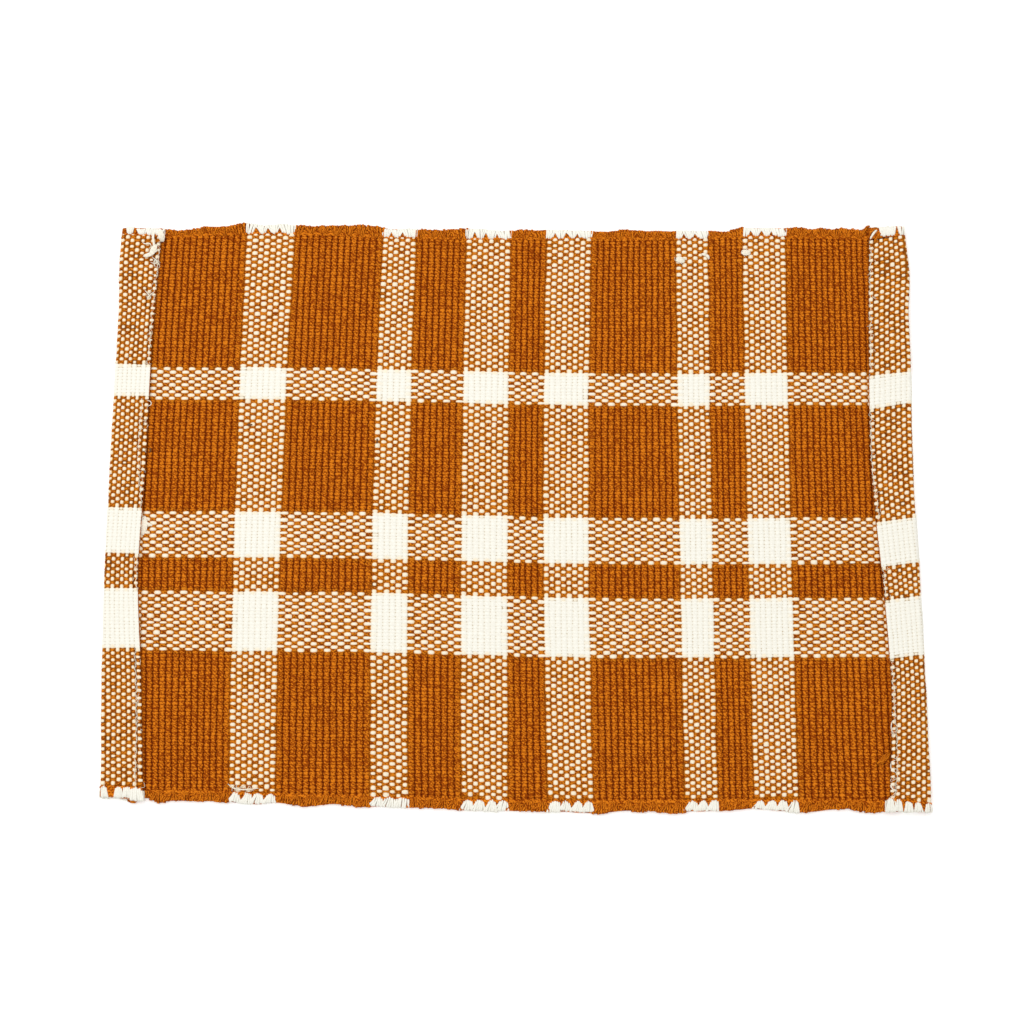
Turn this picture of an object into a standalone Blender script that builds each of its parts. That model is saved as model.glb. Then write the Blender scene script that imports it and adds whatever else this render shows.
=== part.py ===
"""A handwoven cotton placemat, lying flat, with both short ends turned over onto its face as hems.

One piece of cloth, one closed solid. +X runs along the warp, the mat's long way, +Y runs along the
weft and +Z is up. The origin is under the middle of the mat, on the surface that it lies on.
"""

import math

import bmesh
import bpy
import numpy as np

# Driving dimensions, in metres.
CLOTH_THICKNESS = 0.0020
LAYER_GAP = 0.0004  # between the body and the hem turned over it

MM = 0.001

# The two woven ends, from the far selvedge to the near one, in millimetres from the mat's middle:
# where each folded end lies, and how far its hem reaches back over the body.
END_COLUMNS = ("y", "left", "left_hem", "right", "right_hem")
END_ROWS = (
    (166.0, -228.2, 23.0, 226.0, 21.0),
    (90.0, -228.4, 20.1, 227.7, 24.6),
    (20.0, -229.1, 20.1, 227.5, 24.2),
    (-40.0, -229.2, 18.8, 229.3, 21.3),
    (-100.0, -228.0, 22.0, 230.7, 19.7),
    (-166.0, -225.8, 23.7, 232.0, 23.8),
)

# The two selvedges, from left to right, in millimetres from the mat's middle.
SELVEDGE_COLUMNS = ("x", "near", "far")
SELVEDGE_ROWS = (
    (-228.0, -162.2, 162.8),
    (-200.0, -162.6, 163.9),
    (-165.0, -162.9, 167.2),
    (-105.0, -164.4, 167.4),
    (-42.0, -165.6, 165.9),
    (10.0, -166.2, 165.8),
    (50.0, -168.0, 166.0),
    (75.0, -166.7, 166.1),
    (125.0, -165.1, 167.0),
    (186.0, -165.1, 168.6),
    (230.0, -165.4, 167.6),
)

# How finely the solid is faceted.
STATIONS_ALONG_BODY = 34
STATIONS_ALONG_HEM = 4
STATIONS_ROUND_FOLD = 9
STATIONS_ACROSS = 25

RUST_COTTON = (0.60, 0.165, 0.008, 1.0)
COTTON_ROUGHNESS = 0.9


def smooth_through(at, places, values):
    """Values at `at` on a smooth curve through the table's points.

    Each stretch is a cubic whose end slopes are those of the chord between its neighbours.
    """
    slopes = np.gradient(values, places)
    stretch = np.clip(np.searchsorted(places, at) - 1, 0, len(places) - 2)
    width = places[stretch + 1] - places[stretch]
    t = np.clip((at - places[stretch]) / width, 0.0, 1.0)
    start = (1 + 2 * t) * (1 - t) ** 2 * values[stretch]
    start_slope = t * (1 - t) ** 2 * width * slopes[stretch]
    end = t**2 * (3 - 2 * t) * values[stretch + 1]
    end_slope = t**2 * (t - 1) * width * slopes[stretch + 1]
    return start + start_slope + end + end_slope


def table_curve(columns, rows, name):
    """A function of the table's first column that gives the column called `name`, in metres."""
    table = np.array(sorted(rows)) * MM
    column = columns.index(name)

    def curve(at):
        return smooth_through(np.atleast_1d(at), table[:, 0], table[:, column])

    return curve


def section(left, left_hem, right, right_hem):
    """The mat's cross-section along the warp: one ring of (x, z) points round its one bent layer.

    A middle line runs from the left hem's cut edge out to the left fold, half round it, along the
    body, half round the right fold and back to the right hem's cut edge. The section is that line
    set off by half the cloth's thickness to each side.
    """
    half_cloth = CLOTH_THICKNESS / 2
    bend = LAYER_GAP / 2 + half_cloth
    fold_radius = bend + half_cloth
    turn = np.linspace(0.0, math.pi, STATIONS_ROUND_FOLD)
    hem_share = np.linspace(0.0, 1.0, STATIONS_ALONG_HEM)[:-1]
    body_share = np.linspace(0.0, 1.0, STATIONS_ALONG_BODY)[1:-1]

    left_centre = left + fold_radius
    right_centre = right - fold_radius
    hem_middle = fold_radius + bend
    body_middle = fold_radius - bend

    left_run = left + left_hem + (left_centre - left - left_hem) * hem_share
    right_run = right_centre + (right - right_hem - right_centre) * (1.0 - hem_share[::-1])
    body_run = left_centre + (right_centre - left_centre) * body_share
    x = np.concatenate([
        left_run,
        left_centre - bend * np.sin(turn),
        body_run,
        right_centre + bend * np.sin(turn),
        right_run,
    ])
    z = np.concatenate([
        np.full(len(left_run), hem_middle),
        fold_radius + bend * np.cos(turn),
        np.full(len(body_run), body_middle),
        fold_radius - bend * np.cos(turn),
        np.full(len(right_run), hem_middle),
    ])
    # The outer side of the line is the side away from the folds' centres.
    out_x = np.concatenate([
        np.zeros(len(left_run)),
        -np.sin(turn),
        np.zeros(len(body_run)),
        np.sin(turn),
        np.zeros(len(right_run)),
    ])
    out_z = np.concatenate([
        np.ones(len(left_run)),
        np.cos(turn),
        -np.ones(len(body_run)),
        -np.cos(turn),
        np.ones(len(right_run)),
    ])
    outer = np.stack([x + half_cloth * out_x, z + half_cloth * out_z], axis=1)
    inner = np.stack([x - half_cloth * out_x, z - half_cloth * out_z], axis=1)
    return np.concatenate([outer, inner[::-1]])


def mat_rings():
    """One ring of points for each station from the near selvedge to the far one, shape (rows, n, 3)."""
    ends = {name: table_curve(END_COLUMNS, END_ROWS, name) for name in END_COLUMNS[1:]}
    near = table_curve(SELVEDGE_COLUMNS, SELVEDGE_ROWS, "near")
    far = table_curve(SELVEDGE_COLUMNS, SELVEDGE_ROWS, "far")
    reach = max(row[0] for row in END_ROWS) * MM
    rings = []
    for share in np.linspace(0.0, 1.0, STATIONS_ACROSS):
        y = reach * (2.0 * share - 1.0)
        ring = section(*(curve(y)[0] for curve in ends.values()))
        x = ring[:, 0]
        across = near(x) + (far(x) - near(x)) * share
        rings.append(np.stack([x, across, ring[:, 1]], axis=1))
    return np.array(rings)


def centred(rings):
    """The rings moved so that the middle of their box lies over the origin."""
    middle = (rings.min(axis=(0, 1)) + rings.max(axis=(0, 1))) / 2
    return rings - np.array([middle[0], middle[1], 0.0])


def cotton_material():
    material = bpy.data.materials.new("rust_cotton")
    material.use_nodes = True
    shader = material.node_tree.nodes["Principled BSDF"]
    shader.inputs["Base Color"].default_value = RUST_COTTON
    shader.inputs["Roughness"].default_value = COTTON_ROUGHNESS
    shader.inputs["Metallic"].default_value = 0.0
    return material


def placemat_cloth():
    """The whole mat: the rings skinned one to the next, with both selvedge ends closed.

    The first half of each ring runs along the cloth's outer side and the second half comes back
    along its inner side, so each end is closed by a row of quads across the thickness.
    """
    rings = centred(mat_rings())
    count = rings.shape[1]
    mesh = bmesh.new()
    verts = [[mesh.verts.new(point) for point in ring] for ring in rings]
    for lower, upper in zip(verts[:-1], verts[1:]):
        for i in range(count):
            j = (i + 1) % count
            mesh.faces.new((lower[i], lower[j], upper[j], upper[i]))
    for ring in (verts[0], verts[-1]):
        for i in range(count // 2 - 1):
            mesh.faces.new((ring[i], ring[i + 1], ring[count - 2 - i], ring[count - 1 - i]))
    bmesh.ops.recalc_face_normals(mesh, faces=mesh.faces)
    data = bpy.data.meshes.new("placemat_cloth")
    mesh.to_mesh(data)
    mesh.free()
    data.materials.append(cotton_material())
    cloth = bpy.data.objects.new("placemat_cloth", data)
    bpy.context.scene.collection.objects.link(cloth)
    return cloth


for old in list(bpy.data.objects):
    bpy.data.objects.remove(old, do_unlink=True)
placemat_cloth()
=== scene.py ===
"""A handwoven cotton placemat lying flat: rust orange and off-white plain weave, both ends hemmed.

Every crossing of the weave is modelled: wherever a weft yarn passes over a warp yarn, or under it,
the cloth has one small dome in the colour of the yarn on top. Along both selvedges the weft's fine
strands turn round three doubled edge cords. Sizes in the tables are millimetres from the mat's
middle, as measured on its upper face; +X runs along the warp, the mat's long way, and +Y along the
weft. `near` is the -Y selvedge and `far` is the +Y one.
"""

import math

import bpy
import numpy as np
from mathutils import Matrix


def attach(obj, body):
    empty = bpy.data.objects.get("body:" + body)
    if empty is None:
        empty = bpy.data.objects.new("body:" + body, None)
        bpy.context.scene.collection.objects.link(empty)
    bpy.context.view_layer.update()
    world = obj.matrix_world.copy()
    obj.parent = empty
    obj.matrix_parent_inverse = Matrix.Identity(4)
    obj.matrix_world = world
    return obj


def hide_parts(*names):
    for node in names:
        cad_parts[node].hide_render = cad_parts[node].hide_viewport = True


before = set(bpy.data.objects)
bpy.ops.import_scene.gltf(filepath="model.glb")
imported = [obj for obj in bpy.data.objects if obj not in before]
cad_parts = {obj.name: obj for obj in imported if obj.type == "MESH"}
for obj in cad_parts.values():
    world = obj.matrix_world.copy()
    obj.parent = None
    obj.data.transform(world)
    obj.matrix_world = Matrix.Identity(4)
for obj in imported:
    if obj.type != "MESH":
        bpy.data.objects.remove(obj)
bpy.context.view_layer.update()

MM = 0.001
NODE = "placemat_cloth"
BODY = "root"
rng = np.random.default_rng(20)

# ---------------------------------------------------------------------------------------------
# The camera, at the photograph's viewing angle
# ---------------------------------------------------------------------------------------------
CAMERA_DISTANCE = 0.8475
CAMERA_TILT = math.radians(8.17)  # from straight down, leaning back towards the near selvedge
CAMERA_TURN = math.radians(0.522)
CAMERA_AIM = (-1.8 * MM, -0.65 * MM, 2.0 * MM)
LENS_MM = 52.73
SENSOR_MM = 36.0


def photo_camera():
    """The aim point, stepped back along the tilted and turned line of sight."""
    data = bpy.data.cameras.new("photo_camera")
    data.lens = LENS_MM
    data.sensor_width = SENSOR_MM
    camera = bpy.data.objects.new("photo_camera", data)
    back = CAMERA_DISTANCE * math.sin(CAMERA_TILT)
    camera.location = (
        CAMERA_AIM[0] + back * math.sin(CAMERA_TURN),
        CAMERA_AIM[1] - back * math.cos(CAMERA_TURN),
        CAMERA_AIM[2] + CAMERA_DISTANCE * math.cos(CAMERA_TILT),
    )
    camera.rotation_euler = (CAMERA_TILT, 0.0, CAMERA_TURN)
    bpy.context.scene.collection.objects.link(camera)
    bpy.context.scene.camera = camera


photo_camera()

# ---------------------------------------------------------------------------------------------
# The cloth's sizes
# ---------------------------------------------------------------------------------------------
CLOTH_THICKNESS = 2.0
HALF_CLOTH = CLOTH_THICKNESS / 2
FOLD_RADIUS = 2.1  # of the outer face round a folded end
FOLD_BEND = FOLD_RADIUS - HALF_CLOTH  # of the cloth's middle there

# The two folded ends, from the far selvedge to the near one, and how far each hem reaches back.
END_COLUMNS = ("y", "left", "left_hem", "right", "right_hem")
END_ROWS = (
    (166.0, -228.2, 23.0, 226.0, 21.0),
    (140.0, -229.15, 22.8, 228.3, 24.0),
    (116.0, -228.3, 20.9, 227.3, 23.7),
    (90.0, -228.4, 20.1, 227.7, 24.6),
    (20.0, -229.1, 20.1, 227.5, 24.2),
    (-40.0, -229.2, 18.8, 229.3, 21.3),
    (-100.0, -228.0, 22.0, 230.7, 19.7),
    (-166.0, -225.8, 23.7, 232.0, 23.8),
)

# The solid's two selvedges, from left to right: the mat's outline.
SELVEDGE_COLUMNS = ("x", "near", "far")
SELVEDGE_ROWS = (
    (-228.0, -162.2, 162.8),
    (-200.0, -162.6, 163.9),
    (-165.0, -162.9, 167.2),
    (-105.0, -164.4, 167.4),
    (-42.0, -165.6, 165.9),
    (10.0, -166.2, 165.8),
    (50.0, -168.0, 166.0),
    (75.0, -166.7, 166.1),
    (125.0, -165.1, 167.0),
    (186.0, -165.1, 168.6),
    (230.0, -165.4, 167.6),
)

# The weft: blocks of picks from left to right, with where each block starts at three heights.
# The last row is where the body's last pick ends. Both outer ends are hidden under the hems.
PICK_HEIGHTS = (147.0, 41.0, -150.0)
PICK_BLOCKS = (
    ("rust", 15, -210.5, -212.4, -208.5),
    ("white", 8, -156.2, -157.2, -155.2),
    ("rust", 14, -128.5, -130.4, -129.6),
    ("white", 6, -77.2, -79.1, -77.4),
    ("rust", 8, -57.6, -58.8, -56.4),
    ("white", 8, -28.5, -29.2, -27.2),
    ("rust", 6, -2.7, -2.8, -1.3),
    ("white", 8, 18.0, 17.0, 20.4),
    ("rust", 14, 44.0, 42.9, 45.6),
    ("white", 6, 93.3, 93.7, 96.0),
    ("rust", 6, 112.1, 112.4, 114.2),
    ("white", 8, 131.9, 132.2, 134.2),
    ("rust", 15, 156.8, 156.9, 158.6),
    ("end", 0, 208.5, 209.8, 214.0),
)
HEM_PICKS = 14  # white picks in each hem, round its fold and under it
HEM_PICK_MM = 2.9
HEM_MORE = {"left": 0.6, "right": 0.1}  # how far the woven hem goes on past the plain one

# The warp: bands of rows from the near selvedge to the far one, with where each band ends.
FIRST_ROW = -160.9
WARP_BANDS = (
    ("rust", 42, -81.95),
    ("white", 18, -48.4),
    ("rust", 10, -29.4),
    ("white", 14, -3.0),
    ("rust", 34, 61.5),
    ("white", 10, 80.6),
    ("rust", 42, 160.9),
)
# How much the body's rows rise towards the two ends, near, midway and far.
LIFT_COLUMNS = ("x", "near", "midway", "far")
LIFT_ROWS = (
    (-230.0, 2.1, 1.4, 0.9),
    (-183.0, 2.0, 1.5, 1.0),
    (-143.0, 1.8, 1.85, 1.55),
    (-104.0, 1.75, 1.75, 1.3),
    (-68.0, 1.6, 1.5, 0.5),
    (-15.0, 0.55, 0.6, 0.25),
    (8.0, 0.1, 0.1, 0.1),
    (31.0, 0.0, 0.0, 0.0),
    (69.0, 0.0, -0.1, 0.0),
    (104.0, 0.6, 0.1, 0.8),
    (123.0, 1.0, 0.3, 1.5),
    (145.0, 1.7, 0.7, 2.2),
    (184.0, 1.8, 1.3, 1.8),
    (230.0, 1.8, 1.5, 1.8),
)
# How much each hem's rows rise, at its cut edge and at its fold.
RISE_COLUMNS = ("y", "left_edge", "left_fold", "right_edge", "right_fold")
RISE_ROWS = (
    (-165.0, 2.8, 3.2, 1.0, 2.2),
    (-64.0, 2.8, 2.9, 0.2, 2.9),
    (-16.0, 3.1, 3.5, -1.3, 1.5),
    (72.0, 2.4, 2.5, -1.1, 2.3),
    (165.0, 1.8, 2.2, -0.8, 2.4),
)

# One crossing: how deep its borders lie under its crown, and how far yarns bulge past them.
FRONT_STEPS = 3
BACK_STEPS = 2
CROWN_AT = 0.30  # the inner points' place between two borders
PICK_GROOVE = 0.80
ROW_GROOVE = 0.36
CORNER_PIT = 0.90
BACK_GROOVE = 0.45
WARP_DIP = 0.16  # a warp float lies this much lower than a weft float
WEFT_SWELL = 0.03  # a weft float is this much taller at each end than its row, a warp one shorter
RUST_SWELL = 0.08  # the same amid rust floats
WHITE_SWELL = 0.09  # and a white float taller
WARP_BULGE = 0.08  # a warp float bulges this much past each side of its pick; a weft one draws in
RUST_BULGE = 0.12  # the same amid rust floats
WEFT_FLOAT = (1.12, 1.04)  # its size along x and y, as a share of its crossing, amid other colours
WARP_FLOAT = (1.20, 1.04)
FLOAT_JITTER = 0.075
FLOAT_SHIFT = 0.07
WHITE_SHRINK = 0.35  # and now and then a white float is smaller by up to this
SHRINK_RARITY = 7  # the power of a random share, so that few shrink much
WEFT_MEETING = 0.4  # how far a float's crown takes on painted light reflected from the other colour
WARP_MEETING = 0.2
HEM_FLOAT = (0.84, 0.88)
CUT_EDGE_FLOAT = (0.68, 0.80)
SOFT_SHARE = 0.68  # how much shallower the borders are where white meets white

ROW_WANDER = 0.17
PICK_WANDER = 0.12
HEM_WANDER = 0.3  # of a hem's picks, in picks for each mm of a pick's own wander
HEIGHT_WANDER = 0.07

# The selvedges: where the even rows end and the turned weft begins, from left to right.
LINE_COLUMNS = ("x", "near", "far")
LINE_ROWS = (
    (-205.0, -156.7, 158.8),
    (-160.0, -156.9, 160.7),
    (-120.0, -158.2, 161.1),
    (-75.0, -158.9, 159.6),
    (0.0, -160.2, 159.1),
    (50.0, -160.1, 160.1),
    (96.0, -159.4, 159.9),
    (130.0, -158.7, 162.0),
    (168.0, -158.8, 161.8),
    (205.0, -159.0, 161.5),
)
# The turned weft's own outline on the body, as (x, y).
NEAR_OUTLINE = (
    (-214, -161.2), (-198, -161.6), (-194, -163.7), (-184, -162.6), (-155, -163.1), (-140, -164.3),
    (-128, -163.1), (-112, -165.4), (-99, -163.7), (-77, -164.8), (-55, -165.2), (-38, -165.3),
    (-28, -166.5), (0, -166.5), (27, -166.6), (49.5, -167.7), (60, -166.0), (77, -165.8),
    (88, -167.1), (99, -165.9), (118, -165.5), (126, -164.6), (135, -164.0), (146, -165.0),
    (162, -165.9), (179, -164.1), (186, -163.5), (193, -164.8), (211, -165.2),
)
FAR_OUTLINE = (
    (-214, 163.8), (-204, 163.5), (-195, 163.3), (-183, 164.6), (-180, 165.9), (-163, 166.6),
    (-159, 168.2), (-145, 166.8), (-137, 167.5), (-119, 166.7), (-99, 167.2), (-79, 166.8),
    (-73, 165.6), (-44, 165.0), (-29, 166.3), (-9, 165.0), (19, 165.9), (54, 165.0), (64, 166.6),
    (75, 165.5), (104, 166.0), (123, 165.3), (132, 167.8), (165, 168.4), (174, 167.3), (178, 168.2),
    (184, 167.1), (190, 168.6), (200, 166.9), (205, 169.3), (209, 168.8),
)
# The hems' lines and outlines, by the share of the way from the cut edge round to the body.
HEM_EDGE_COLUMNS = ("share", "left_near", "left_near_out", "left_far", "left_far_out",
                    "right_near", "right_near_out", "right_far", "right_far_out")
HEM_EDGE_ROWS = (
    (0.0, -155.2, -162.7, 158.6, 163.8, -156.8, -164.9, 161.0, 167.5),
    (0.5, -154.4, -161.0, 159.2, 164.2, -159.3, -164.7, 162.8, 169.3),
    (1.0, -156.7, -162.3, 158.8, 163.7, -159.0, -165.2, 161.5, 168.8),
)
# The hems' turned weft, each bunch of strands from where to where at the outline, in picks.
HEM_BUNCHES = {
    ("left", "near"): (
        (-0.1, 2.1), (2.0, 3.6), (3.7, 5.15), (6.5, 7.9), (8, 9.8), (9.8, 11.8), (12, 14),
    ),
    ("left", "far"): (
        (-0.3, 1.4), (1.5, 3.05), (3.1, 4.75), (5.6, 6.95), (7.7, 8.9), (9.1, 11), (11.2, 13.6),
    ),
    ("right", "near"): (
        (-0.65, 0.85), (0.95, 2.3), (2.85, 4.35), (4.75, 6.1), (6.7, 7.9), (8, 10), (10.4, 13.6),
    ),
    ("right", "far"): (
        (2.3, 4.0), (3.2, 5.0), (4.3, 5.65), (6.2, 7.6), (7.8, 9.8), (10, 11.8), (12, 14),
    ),
}
BUNCH_INSET = 0.2  # how much narrower a bunch is on each side at its inner end


def smooth_through(at, places, values):
    """Values at `at` on a smooth curve through the table's points.

    Each stretch is a cubic whose end slopes are those of the chord between its neighbours.
    """
    slopes = np.gradient(values, places)
    stretch = np.clip(np.searchsorted(places, at) - 1, 0, len(places) - 2)
    width = places[stretch + 1] - places[stretch]
    t = np.clip((at - places[stretch]) / width, 0.0, 1.0)
    start = (1 + 2 * t) * (1 - t) ** 2 * values[stretch]
    start_slope = t * (1 - t) ** 2 * width * slopes[stretch]
    end = t**2 * (3 - 2 * t) * values[stretch + 1]
    end_slope = t**2 * (t - 1) * width * slopes[stretch + 1]
    return start + start_slope + end + end_slope


def table_curves(columns, rows):
    """A function that gives the column called `name` at places along the table's first column."""
    table = np.array(sorted(rows))

    def curve(name, at):
        return smooth_through(at, table[:, 0], table[:, columns.index(name)])

    return curve


end_curve = table_curves(END_COLUMNS, END_ROWS)
selvedge_curve = table_curves(SELVEDGE_COLUMNS, SELVEDGE_ROWS)
lift_curve = table_curves(LIFT_COLUMNS, LIFT_ROWS)
rise_curve = table_curves(RISE_COLUMNS, RISE_ROWS)
line_curve = table_curves(LINE_COLUMNS, LINE_ROWS)
hem_edge_curve = table_curves(HEM_EDGE_COLUMNS, HEM_EDGE_ROWS)

FAR_CORNER_Y = 166.0  # as in the two ends' table
MIDDLE_SPAN = (-228.0, 231.0)  # the stretch of the selvedges that the middle is worked out from
END_SAMPLES, SELVEDGE_SAMPLES = 200, 400


def table_middle():
    """The middle of the mat's outline, which lies over the frame's origin."""
    y = np.linspace(-FAR_CORNER_Y, FAR_CORNER_Y, END_SAMPLES)
    x = np.linspace(*MIDDLE_SPAN, SELVEDGE_SAMPLES)
    left, right = end_curve("left", y).min(), end_curve("right", y).max()
    near, far = selvedge_curve("near", x).min(), selvedge_curve("far", x).max()
    return np.array([(left + right) / 2, (near + far) / 2, 0.0])


MIDDLE = table_middle()


def in_frame(points):
    """Points from table millimetres to the frame's metres."""
    return (points - MIDDLE) * MM


def smooth_between(low, high, value):
    """0 below `low`, 1 above `high`, and a smooth step between."""
    t = np.clip((value - low) / (high - low), 0.0, 1.0)
    return t * t * (3 - 2 * t)


# ---------------------------------------------------------------------------------------------
# Where the yarns run
# ---------------------------------------------------------------------------------------------
def pick_table():
    """Each body pick's colour, and every pick border's x at the three heights."""
    white, borders = [], []
    for (yarn, picks, *start), (_, _, *end) in zip(PICK_BLOCKS[:-1], PICK_BLOCKS[1:]):
        share = np.arange(picks)[:, None] / picks
        borders.append(np.array(start) * (1 - share) + np.array(end) * share)
        white += [yarn == "white"] * picks
    borders.append(np.array([PICK_BLOCKS[-1][2:]]))
    return np.array(white), np.concatenate(borders)


def warp_table():
    """Each warp row's colour, and every row border's y where the rows don't rise."""
    white, borders, start = [], [], FIRST_ROW
    for yarn, rows, end in WARP_BANDS:
        borders.append(start + (end - start) * np.arange(rows) / rows)
        white += [yarn == "white"] * rows
        start = end
    borders.append(np.array([start]))
    return np.array(white), np.concatenate(borders)


PICK_WHITE, PICK_X = pick_table()
WARP_WHITE, ROW_Y = warp_table()
ROWS = len(WARP_WHITE)
BODY_PICKS = len(PICK_WHITE)
LEFT_HEM_FIRST = BODY_PICKS  # picks are numbered through the mat, the hems' after the body's
RIGHT_HEM_FIRST = BODY_PICKS + HEM_PICKS
ALL_PICKS = BODY_PICKS + 2 * HEM_PICKS
WARP_NUMBER = 400  # the first warp row's yarn number
STRAND_NUMBER = 700  # the first selvedge strand's
THREAD_NUMBER = 1700  # the first sewing thread's


def through_three(y, values):
    """The parabola in y through one value at each of the three heights."""
    a, b, c = PICK_HEIGHTS
    share_a = (y - b) * (y - c) / ((a - b) * (a - c))
    share_b = (y - a) * (y - c) / ((b - a) * (b - c))
    share_c = (y - a) * (y - b) / ((c - a) * (c - b))
    return values[..., 0] * share_a + values[..., 1] * share_b + values[..., 2] * share_c


def row_lift(x, y):
    """How far a row has risen at (x, y): a parabola in y through the lift near, midway and far."""
    near, midway, far = (lift_curve(name, x) for name in LIFT_COLUMNS[1:])
    share = (y - ROW_Y[0]) / (ROW_Y[-1] - ROW_Y[0])
    return (
        near * (1 - share) * (1 - 2 * share)
        + midway * 4 * share * (1 - share)
        + far * share * (2 * share - 1)
    )


class Wander:
    """Slow unevenness along numbered lines: each line is the sum of three cosines of its own."""

    WAVES = 3

    def __init__(self, lines, amount, shortest, longest):
        length = rng.uniform(shortest, longest, (lines, self.WAVES))
        self.rate = 2 * math.pi / length
        self.phase = rng.uniform(0, 2 * math.pi, (lines, self.WAVES))
        self.amount = amount * math.sqrt(2 / self.WAVES)

    def along(self, line, at):
        """The offset of each numbered line at its place along itself."""
        waves = np.cos(self.rate[line] * at[..., None] + self.phase[line])
        return self.amount * waves.sum(axis=-1)


row_wander = Wander(ROWS + 1, ROW_WANDER, shortest=25.0, longest=110.0)
pick_wander = Wander(ALL_PICKS + 3, PICK_WANDER, shortest=20.0, longest=120.0)
crown_wander = Wander(ALL_PICKS + 3, HEIGHT_WANDER, shortest=6.0, longest=30.0)


def body_path(place, y):
    """The body's middle surface at a place counted in picks: x, z and the upward normal's x and z.

    x is the mix of the two pick borders beside that place, each with its wander.
    """
    whole = np.clip(np.floor(place).astype(int), 0, BODY_PICKS - 1)
    share = place - whole

    def border(k):
        return through_three(y, PICK_X[k]) + pick_wander.along(k, y)

    x = border(whole) * (1 - share) + border(whole + 1) * share
    return x, np.full(x.shape, HALF_CLOTH), np.zeros(x.shape), np.ones(x.shape)


def hem_lengths(side, y):
    """The lengths of a hem's three stretches at height y: over the body, round the fold, under it."""
    sign = -1.0 if side == "left" else 1.0
    centre = end_curve(side, y) - sign * FOLD_RADIUS
    border = 0 if side == "left" else BODY_PICKS
    body = through_three(y, PICK_X[np.full(y.shape, border)])
    over = end_curve(side + "_hem", y) - FOLD_RADIUS + HEM_MORE[side]
    return centre, over, math.pi * FOLD_BEND, np.abs(centre - body)


def hem_path(side, place, y):
    """A hem's middle surface at a place counted in picks: x, z and the outward normal's x and z.

    The line runs from the cut edge out to the fold, half round it and back under to the body.
    """
    sign = -1.0 if side == "left" else 1.0
    centre, over, round_fold, under = hem_lengths(side, y)
    s = (over + round_fold + under) * place / HEM_PICKS
    turn = np.clip((s - over) / FOLD_BEND, 0.0, math.pi)
    before = np.minimum(s, over) - over
    past = np.maximum(s - over - round_fold, 0.0)
    x = centre + sign * (before + FOLD_BEND * np.sin(turn) - past)
    z = FOLD_RADIUS + FOLD_BEND * np.cos(turn)
    return x, z, sign * np.sin(turn), np.cos(turn)


def hem_rise(side, place, x, y):
    """How far a hem's row has risen: from the cut edge's table value to the fold's, to the body's."""
    at_edge = rise_curve(side + "_edge", y)
    at_fold = rise_curve(side + "_fold", y)
    halves = 2 * place / HEM_PICKS
    out = np.clip(halves, 0.0, 1.0)
    back = np.clip(halves - 1.0, 0.0, 1.0)
    return (at_edge * (1 - out) + at_fold * out) * (1 - back) + row_lift(x, y) * back


def edge_of_body(edge, x):
    """Where the even rows end and where the outline is, on the body."""
    outline = np.array(NEAR_OUTLINE if edge == "near" else FAR_OUTLINE, float)
    return line_curve(edge, x), np.interp(x, outline[:, 0], outline[:, 1])


def edge_of_hem(side, edge, place):
    """Where the even rows end and where the outline is, on a hem."""
    return [hem_edge_curve(f"{side}_{edge}{out}", place / HEM_PICKS) for out in ("", "_out")]


EDGE_SINK = 1.0  # how far the rows dip under the turned weft
SINK_FROM, SINK_TO = 0.5, 2.0  # how far past the line the dip starts and is full
NEAR_LEAD = 0.7  # and how much sooner at the near edge
SUNK_DEPTH = 0.35  # past which a crossing is hidden under the turned weft, and is rust
ROW_TUCK = 1.3  # how far the first row goes at least under the near edge's turned weft


def sink(y, near, far):
    """How far the cloth's face dips past the two lines where the even rows end."""
    beyond = np.maximum(near - y + NEAR_LEAD, y - far)
    return EDGE_SINK * smooth_between(SINK_FROM, SINK_TO, beyond)


def tuck_under(level, line, near):
    """The level of numbered row borders, the first of them no higher than just under the near edge."""
    return np.where(line == 0, np.minimum(level, near - ROW_TUCK), level)


def split(fine, steps):
    """Fine grid numbers as the border below them and the share of the way to the next one."""
    whole, step = np.divmod(fine, steps)
    if steps == FRONT_STEPS:
        share = np.array([0.0, CROWN_AT, 1 - CROWN_AT])[step]
    else:
        share = step / steps
    return whole, share


def between(whole, share, last, value):
    """Mixes the value at a border and at the next one by each point's share."""
    return value(whole) * (1 - share) + value(np.minimum(whole + 1, last)) * share


def crossings(first_pick, picks):
    """Whether the weft is the yarn on top at each crossing: a checkerboard."""
    pick = np.arange(first_pick, first_pick + picks)[:, None]
    row = np.arange(ROWS)[None, :]
    return (pick + row) % 2 == 1


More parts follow.
